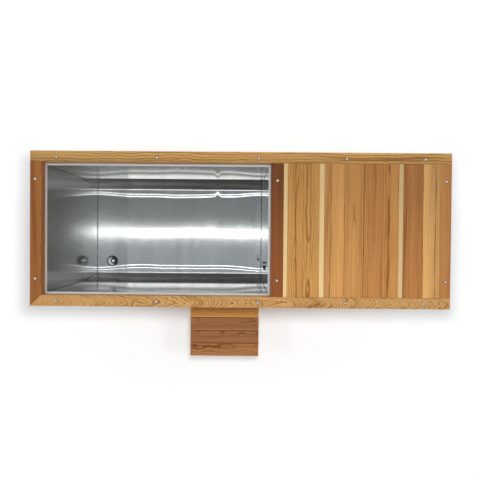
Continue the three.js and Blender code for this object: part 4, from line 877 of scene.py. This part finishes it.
def dress_deck():
    """The eight deck boards, each in its own tone, on two battens."""
    arch = 0.0125  # ring width of the boards whose grain makes bold arches
    boards = (
        (GOLDEN, (0.014, 0.018, 0.012, 0.06), dict(
            ring=arch, contrast=1.15, sapwood_and_highlight=(-1, 0.021, SAPWOOD), streaks=((0.016, 0.007, 0.85),))),
        (GOLDEN, (-0.03, 0.018, 0.012, 0.06), dict(
            ring=arch, contrast=1.1, sapwood_and_highlight=(1, 0.027, SAPWOOD),
            streaks=((-0.038, 0.006, 0.8), (-0.018, 0.005, 0.65)))),
        (ROSY_TAN, (0.11, 0.07, 0.03, 0.03), dict(
            contrast=0.9, streaks=((-0.022, 0.008, 0.6),), slant=(0.9, 1.13))),
        (TAN, (0.0, 0.014, 0.015, 0.05), dict(
            figure=0.012, end_to_end_shade=(1.06, 0.78), joint=0.0016)),
        (REDDISH, (-0.09, 0.06, 0.03, 0.04), dict(
            streaks=((-0.03, 0.006, 0.4),), joint=0.0012)),
        (WARM_TAN, (-0.03, 0.016, 0.012, 0.05), dict(
            ring=arch, contrast=1.15, sapwood_and_highlight=(1, 0.025, DULL_SAPWOOD),
            streaks=((-0.028, 0.011, 1.0), (-0.041, 0.004, 0.5)), slant=(1.0, 1.01))),
        (BROWN, (0.09, 0.06, 0.03, 0.04), dict(
            streaks=((0.03, 0.012, 0.3), (-0.018, 0.008, 0.25)), joint=0.0012)),
        (LIGHT_TAN, (-0.1, 0.08, 0.03, 0.03), dict(
            streaks=((0.02, 0.006, 0.75),), slant=(1.06, 0.84))),
    )
    for number, (heart, pith, look) in enumerate(boards, 1):
        node = f"hatch_board_{number}"
        # painted light: each deck board is painted lighter towards the front, unless it sets its own
        # end-to-end shade
        look = {"end_to_end_shade": DECK_PAINTED_LIGHT, **look}
        dress(node, wood(f"deck_{number}", node, "Y", heart, pith, float(number), **look))
    for node in ("hatch_batten_front", "hatch_batten_rear"):
        dress(node, framing_wood(node, "X", 20.0))


def dress_rails():
    """The five top rails."""
    rails = (
        ("rear_rail", "X", HONEY, (0.1, 0.03, 0.05, 0.04), dict(
            ring=0.015, contrast=1.5, figure=0.02, streaks=((-0.016, 0.004, 0.6), (-0.024, 0.0035, 0.5)),
            end_to_end_shade=(0.99, 1.06), slant=(0.99, 1.1))),
        ("front_rail", "X", PALE_HONEY, (-0.004, 0.012, 0.05, 0.01), dict(
            ring=0.0145, contrast=2.2, figure=0.055, drift=0.42)),
        ("left_rail", "Y", RED_BROWN, (0.06, 0.06, 0.03, 0.04), {}),
        ("cross_rail", "Y", DEEP_RED, (-0.07, 0.06, 0.03, 0.04), dict(end_to_end_shade=(1.24, 0.7))),
        ("right_rail", "Y", REDDISH, (0.06, 0.06, 0.03, 0.04), dict(contrast=0.6, end_to_end_shade=(1.0, 0.9))),
    )
    for seed, (node, axis, heart, pith, look) in enumerate(rails, 11):
        dress(node, wood(node + "_wood", node, axis, heart, pith, float(seed), **look))


def dress_step():
    """The step: a golden board at the rear, three brown ones, and the box below."""
    gold_pith = (0.02, 0.08, 0.04, 0.12)
    brown_pith = (0.03, 0.07, 0.04, 0.1)
    # treads 1 and 2 carry a painted highlight along their front edges
    gold = wood("tread_1_wood", "step_tread_1", "X", STEP_GOLD, gold_pith, 21.0, sapwood_and_highlight=(-1, 0.007, GOLD_EDGE_HIGHLIGHT))
    dress("step_tread_1", gold)
    treads = (  # shade and seed of each brown board, and its own marks
        ("step_tread_2", 0.92, 28.28, dict(
            sapwood_and_highlight=(-1, 0.007, BROWN_EDGE_HIGHLIGHT), streaks=((-0.012, 0.012, 0.42), (0.03, 0.008, 0.2)))),
        ("step_tread_3", 1.02, 29.18, dict(streaks=((0.0, 0.012, 0.45), (-0.034, 0.006, 0.3)))),
        ("step_tread_4", 1.27, 31.43, dict(
            streaks=((0.026, 0.008, 0.5), (-0.004, 0.006, 0.3)), slant=(1.08, 0.94))),
    )
    for node, level, seed, look in treads:
        heart = tinted(STEP_BROWN, (level, level, level))
        look = dict(contrast=1.2, figure=0.012, **look)
        dress(node, wood(node + "_wood", node, "X", heart, brown_pith, seed, **look))
    for seed, node in ((26.0, "step_side_left"), (27.0, "step_side_right")):
        dress(node, wood(node + "_wood", node, "Z", TAN, (0.12, 0.04, 0.03, 0.04), seed))
    dress("step_riser", wood("riser_wood", "step_riser", "X", TAN, (-0.09, 0.03, 0.03, 0.05), 29.0))


def dress_sides():
    """The boarded sides of the cabinet."""
    sides = (
        ("front", "X", LONG_BOARDS),
        ("rear", "X", LONG_BOARDS),
        ("left", "Y", END_BOARDS),
        ("right", "Y", END_BOARDS),
    )
    for i, (side, axis, boards) in enumerate(sides):
        node = side + "_cladding"
        dress(node, cladding(side + "_boards", node, axis, boards, TAN, 31.0 + 30.0 * i))


def dress_frame():
    """The framing timber, the sheets and the foam."""
    plates_along_x = ("front_top_plate", "rear_top_plate", "skid_front", "skid_rear")
    plates_along_y = ("left_top_plate", "right_top_plate")
    posts = ("post_front_left", "post_front_right", "post_rear_left", "post_rear_right")
    for axis, nodes in (("X", plates_along_x), ("Y", plates_along_y), ("Z", posts)):
        for i, node in enumerate(nodes):
            dress(node, framing_wood(node, axis, 40.0 + i))
    sheet = plywood("plywood_sheet")
    dress("base_deck", sheet)
    dress("bulkhead", sheet)
    dress("insulation_jacket", foam("foam_block"))


def dress_fittings():
    """The basin, the drain and the equipment."""
    drain_ring = drain_chrome("drain_ring_chrome", "drain_body", 0.0, DRAIN_BOWL_RADIUS)
    stopper = drain_chrome("stopper_chrome", "drain_stopper", STOPPER_KNOB_RADIUS, DRAIN_BOWL_RADIUS)
    brass = metal("machined_brass", BRASS, rough=0.22, brushed=0.15)
    black = moulded("black_moulding", BLACK, rough=0.42, wear=0.6)
    white = moulded("white_pipe_plastic", PIPE_WHITE, rough=0.3, texture=SMOOTH_MOULD_RELIEF)
    blue = moulded("blue_canister_plastic", CANISTER_BLUE, rough=0.38)
    red = moulded("red_lever_plastic", LEVER_RED, rough=0.3, texture=SMOOTH_MOULD_RELIEF, wear=0.3)
    grey = powder_coat("grey_powder_coat", CASING_GREY)
    wet_black = ("return_fitting", "return_eyeball", "temperature_probe")
    dry_black = ("pump_volute", "filter_lid", "chiller_fan")
    finishes = (
        (drain_ring, ("drain_body",)),
        (stopper, ("drain_stopper",)),
        (brass, ("drain_locknut", "drain_valve_body")),
        (black, wet_black + dry_black),
        (white, ("suction_pipe", "pressure_pipe", "return_pipe")),
        (blue, ("filter_canister",)),
        (red, ("drain_valve_lever", "power_button")),
        (grey, ("pump_motor", "chiller_casing", "fan_motor")),
        (paper("filter_paper_white"), ("filter_cartridge",)),
        (stainless("brushed_stainless"), ("basin_shell",)),
    )
    for material, nodes in finishes:
        for node in nodes:
            dress(node, material)


def put_in_scene(name, data):
    """A new object that shows a mesh, a lamp or a camera."""
    holder = bpy.data.objects.new(name, data)
    scene.collection.objects.link(holder)
    return holder


def new_piece(name, mesh_builder, material, body):
    """A mesh piece that rides on a body of the frame."""
    mesh = bpy.data.meshes.new(name)
    work = bmesh.new()
    mesh_builder(work)
    bmesh.ops.recalc_face_normals(work, faces=work.faces)
    work.to_mesh(mesh)
    work.free()
    mesh.materials.append(material)
    piece = put_in_scene(name, mesh)
    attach(piece, body)


def turns(sides):
    """Angles of the corners of a regular outline."""
    return [2 * math.pi * i / sides for i in range(sides)]


def on_circle(radius, angle, z):
    return Vector((radius * math.cos(angle), radius * math.sin(angle), z))


def ring_points(radius, z):
    """A round row of points for a screw."""
    return [on_circle(radius, angle, z) for angle in turns(SCREW_SIDES)]


def socket_points(z):
    """A row of points on the outline of the hexagon socket, one for each side of the screw."""
    part = 2 * math.pi / SOCKET_SIDES
    flat = SOCKET_RADIUS * math.cos(part / 2)
    return [on_circle(flat / math.cos(angle % part - part / 2), angle, z) for angle in turns(SCREW_SIDES)]


def add_band(work, first, second):
    """Faces between two rows of points of the same count."""
    count = len(first)
    for i in range(count):
        j = (i + 1) % count
        work.faces.new((first[i], first[j], second[j], second[i]))


def add_screw(work, place):
    """One screw head: a domed pan with a hexagon socket in its middle."""
    rows = [ring_points(SCREW_RADIUS, -SCREW_SINK)]
    for width, height in SCREW_DOME:
        rows.append(ring_points(width * SCREW_RADIUS, height * SCREW_HEIGHT))
    for z in (SCREW_HEIGHT, SCREW_HEIGHT - SOCKET_DEPTH):
        rows.append(socket_points(z))
    rings = [[work.verts.new(point + place) for point in row] for row in rows]
    for lower, upper in zip(rings, rings[1:]):
        add_band(work, lower, upper)
    work.faces.new(rings[-1])
    work.faces.new(list(reversed(rings[0])))


def screw_places():
    """Middle of each screw on the top face of its rail."""
    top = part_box("rear_rail")[1][2]
    middles = {}
    for node in ("rear_rail", "front_rail", "left_rail", "cross_rail", "right_rail"):
        low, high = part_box(node)
        middles[node] = ((low[0] + high[0]) / 2, (low[1] + high[1]) / 2)
    places = []
    for x in LONG_RAIL_SCREWS:
        places.append(Vector((x, middles["rear_rail"][1] - REAR_SCREW_SHIFT, top)))
        places.append(Vector((x, middles["front_rail"][1], top)))
    for node in ("left_rail", "cross_rail", "right_rail"):
        for y in SHORT_RAIL_SCREWS:
            places.append(Vector((middles[node][0], BASIN_MIDDLE_Y + y, top)))
    return places


def build_screws(work):
    for place in screw_places():
        add_screw(work, place)


def build_screw_shade_rings(work):
    """A thin dished ring of dark wood round each screw head, as painted shade."""
    inner_radius = SCREW_RADIUS - SCREW_HOLE_TUCK
    profile = (
        (SCREW_HOLE_RADIUS, -SCREW_SINK),
        (SCREW_HOLE_RADIUS - SCREW_HOLE_BEVEL, SCREW_HOLE_LIFT),
        (inner_radius, 0.5 * SCREW_HOLE_LIFT),
        (inner_radius, -SCREW_SINK),
    )
    for place in screw_places():
        rings = []
        for radius, z in profile:
            rings.append([work.verts.new(point + place) for point in ring_points(radius, z)])
        for outer, inner in zip(rings, rings[1:] + rings[:1]):
            add_band(work, outer, inner)


def add_bead(work, place, across, upward):
    """One low bead: a flattened dome that faces into the basin."""
    third = across.cross(upward)
    foot = []
    crown = []
    for turn in turns(BEAD_SIDES):
        spread = (across * math.cos(turn) + third * math.sin(turn)) * BEAD_RADIUS
        foot.append(work.verts.new(place + spread - upward * BEAD_RADIUS * BEAD_FOOT))
        rise = upward * BEAD_RADIUS * BEAD_CROWN_HEIGHT
        crown.append(work.verts.new(place + spread * BEAD_CROWN_WIDTH + rise))
    add_band(work, foot, crown)
    work.faces.new(crown)
    work.faces.new(list(reversed(foot)))


def add_seam(work, start, end, inward):
    """A row of beads from start to end, facing inward."""
    start = Vector(start)
    run = Vector(end) - start
    count = int(run.length / BEAD_PITCH)
    upward = Vector(inward).normalized()
    across = run.normalized().cross(upward)
    for i in range(count + 1):
        add_bead(work, start + run * (i / count) + upward * BEAD_LIFT, across, upward)


def build_welds(work):
    """Seams where the end walls meet the floor and the long walls."""
    for x, into in ((BASIN_LEFT, 1), (BASIN_RIGHT, -1)):
        floor_front = (x, BASIN_MIDDLE_Y - BASIN_FLOOR_HALF, BASIN_FLOOR_Z)
        floor_rear = (x, BASIN_MIDDLE_Y + BASIN_FLOOR_HALF, BASIN_FLOOR_Z)
        add_seam(work, floor_front, floor_rear, (into, 0, 1))
        for side, floor_end in ((-1, floor_front), (1, floor_rear)):
            kink = (x, BASIN_MIDDLE_Y + side * BASIN_RIM_HALF, BASIN_KINK_Z)
            rim = (x, BASIN_MIDDLE_Y + side * BASIN_RIM_HALF, BASIN_RIM_Z - SHEET)
            add_seam(work, floor_end, kink, (into, -side, SEAM_TILT))
            add_seam(work, kink, rim, (into, -side, 0))


def floor_white():
    """Pale matt floor. It shows some white of itself, more far away, so the shadow stays by the object."""
    tree = Finish("floor_white")
    path = tree.light_path()
    seen = tree.larger(path["Is Camera Ray"], path["Is Glossy Ray"])
    seen = tree.larger(seen, path["Is Transmission Ray"])
    x, y = tree.split(tree.point)[:2]
    lift = tree.ease(tree.length(x, y), *FLOOR_LIFT_REACH, *FLOOR_LIFT)
    matt = tree.node("BsdfDiffuse", Color=FLOOR_COLOUR)
    glow = tree.node("Emission", Strength=tree.times(seen, lift))
    both = tree.node("AddShader")
    tree.put(both.inputs[0], matt.outputs[0])
    tree.put(both.inputs[1], glow.outputs[0])
    tree.put(tree.output.inputs["Surface"], both.outputs[0])
    return tree.material


def make_floor():
    """A wide floor under the part."""
    half = FLOOR_SIZE / 2
    mesh = bpy.data.meshes.new("floor")
    corners = [(-half, -half, 0), (half, -half, 0), (half, half, 0), (-half, half, 0)]
    mesh.from_pydata(corners, [], [(0, 1, 2, 3)])
    mesh.materials.append(floor_white())
    floor = put_in_scene("floor", mesh)
    floor.location.z = cad_bounds[0][2] - FLOOR_DROP


def overhead_light(tree, x, y, z):
    """Where the ceiling panel is, how bright it is there, and the light of the rows of lamps."""
    height = tree.larger(z, HORIZON)
    lean_x = tree.math("DIVIDE", x, height)
    lean_y = tree.math("DIVIDE", y, height)
    side_x = tree.size(lean_x)
    depth = tree.times(tree.ease(lean_y, *reversed(PANEL_REAR)), tree.ease(lean_y, *reversed(PANEL_FRONT)))
    panel = tree.times(tree.ease(side_x, *reversed(PANEL_HALF_X)), depth)
    gain = tree.ease(lean_x, *PANEL_GAIN_REACH, 1.0, PANEL_GAIN)
    from_middle = tree.size(tree.add(lean_y, -PANEL_MIDDLE))
    level = tree.times(gain, tree.ease(from_middle, 0.0, PANEL_FADE, 1.0, PANEL_BORDER))
    lamps = 0.0
    for place, half, soft, bright in LAMP_ROWS:
        off = tree.size(tree.add(lean_y, -place))
        lamps = tree.add(lamps, tree.ease(off, half + soft, half, 0.0, bright))
    lamps = tree.times(tree.times(lamps, gain), tree.ease(side_x, *reversed(LAMP_HALF_X)))
    return panel, level, lamps


def make_world():
    """The studio: pale walls, a dim ceiling with a panel and lamps, and plain white for the camera."""
    world = bpy.data.worlds.new("studio")
    scene.world = world
    world.use_nodes = True
    tree = Tree(world.node_tree)
    x, y, z = tree.split(tree.node("TexCoord").outputs["Generated"])
    panel, level, lamps = overhead_light(tree, x, y, z)
    key = tree.times(tree.add(x, y), math.sqrt(0.5) * WALL_SWING)
    walls = tree.times(tree.add(key, 1.0), WALL_LIGHT)
    path = tree.light_path()
    mirrored = tree.larger(path["Is Glossy Ray"], path["Is Transmission Ray"])
    walls = tree.blend(mirrored, tree.join(walls, walls, walls), WHITE)
    colour = tree.blend(tree.ease(z, *WALL_START), walls, CEILING_LIGHT)
    colour = tree.blend(panel, colour, tree.scaled(PANEL_LIGHT, level))
    colour = tree.vector("ADD", colour, tree.join(lamps, lamps, lamps))
    back = tree.node("Background", Color=tree.blend(path["Is Camera Ray"], colour, WHITE))
    tree.node("OutputWorld", Surface=back.outputs[0])


def make_sun(name, strength, angle, lean):
    lamp = bpy.data.lights.new(name, "SUN")
    lamp.energy = strength
    lamp.angle = math.radians(angle)
    sun = put_in_scene(name, lamp)
    lean_x, lean_y = (math.radians(a) for a in lean)
    towards = Vector((math.tan(lean_x), math.tan(lean_y), 1.0))
    sun.rotation_euler = towards.to_track_quat("Z", "Y").to_euler()
    sun.location = towards * SUN_REACH
    sun.visible_glossy = False


def make_overhead_lamp():
    """A round soft lamp whose light is even at every distance."""
    lamp = bpy.data.lights.new("overhead", "POINT")
    lamp.energy = OVERHEAD_WATTS
    lamp.shadow_soft_size = OVERHEAD_RADIUS
    lamp.use_nodes = True
    nodes = lamp.node_tree.nodes
    falloff = nodes.new("ShaderNodeLightFalloff")
    falloff.inputs["Strength"].default_value = 1.0
    lamp.node_tree.links.new(falloff.outputs["Constant"], nodes["Emission"].inputs["Strength"])
    holder = put_in_scene("overhead", lamp)
    holder.location = OVERHEAD_PLACE
    holder.visible_glossy = False
    holder.visible_camera = False


def make_camera():
    camera = bpy.data.cameras.new("camera")
    camera.sensor_fit = "HORIZONTAL"
    camera.sensor_width = SENSOR_MM
    camera.lens = FOCAL_PIXELS / IMAGE_PIXELS * SENSOR_MM
    holder = put_in_scene("camera", camera)
    holder.location = CAMERA_PLACE
    holder.rotation_euler = [math.radians(a) for a in CAMERA_TURN]
    scene.camera = holder


scene.view_settings.view_transform = "Standard"
make_camera()
make_world()
for sun in SUNS:
    make_sun(*sun)
make_overhead_lamp()
make_floor()
dress_deck()
dress_rails()
dress_step()
dress_sides()
dress_frame()
dress_fittings()
screw_steel = metal("screw_zinc", ZINC, rough=0.24, brushed=0.1, shine=0.7)
new_piece("trim_screws", build_screws, screw_steel, "cabinet")
# dark rings of painted shade round the screw heads
new_piece("screw_shade_rings", build_screw_shade_rings, screw_shade_wood("screw_shade_wood"), "cabinet")
new_piece("basin_welds", build_welds, weld_steel("weld_steel"), "cabinet")
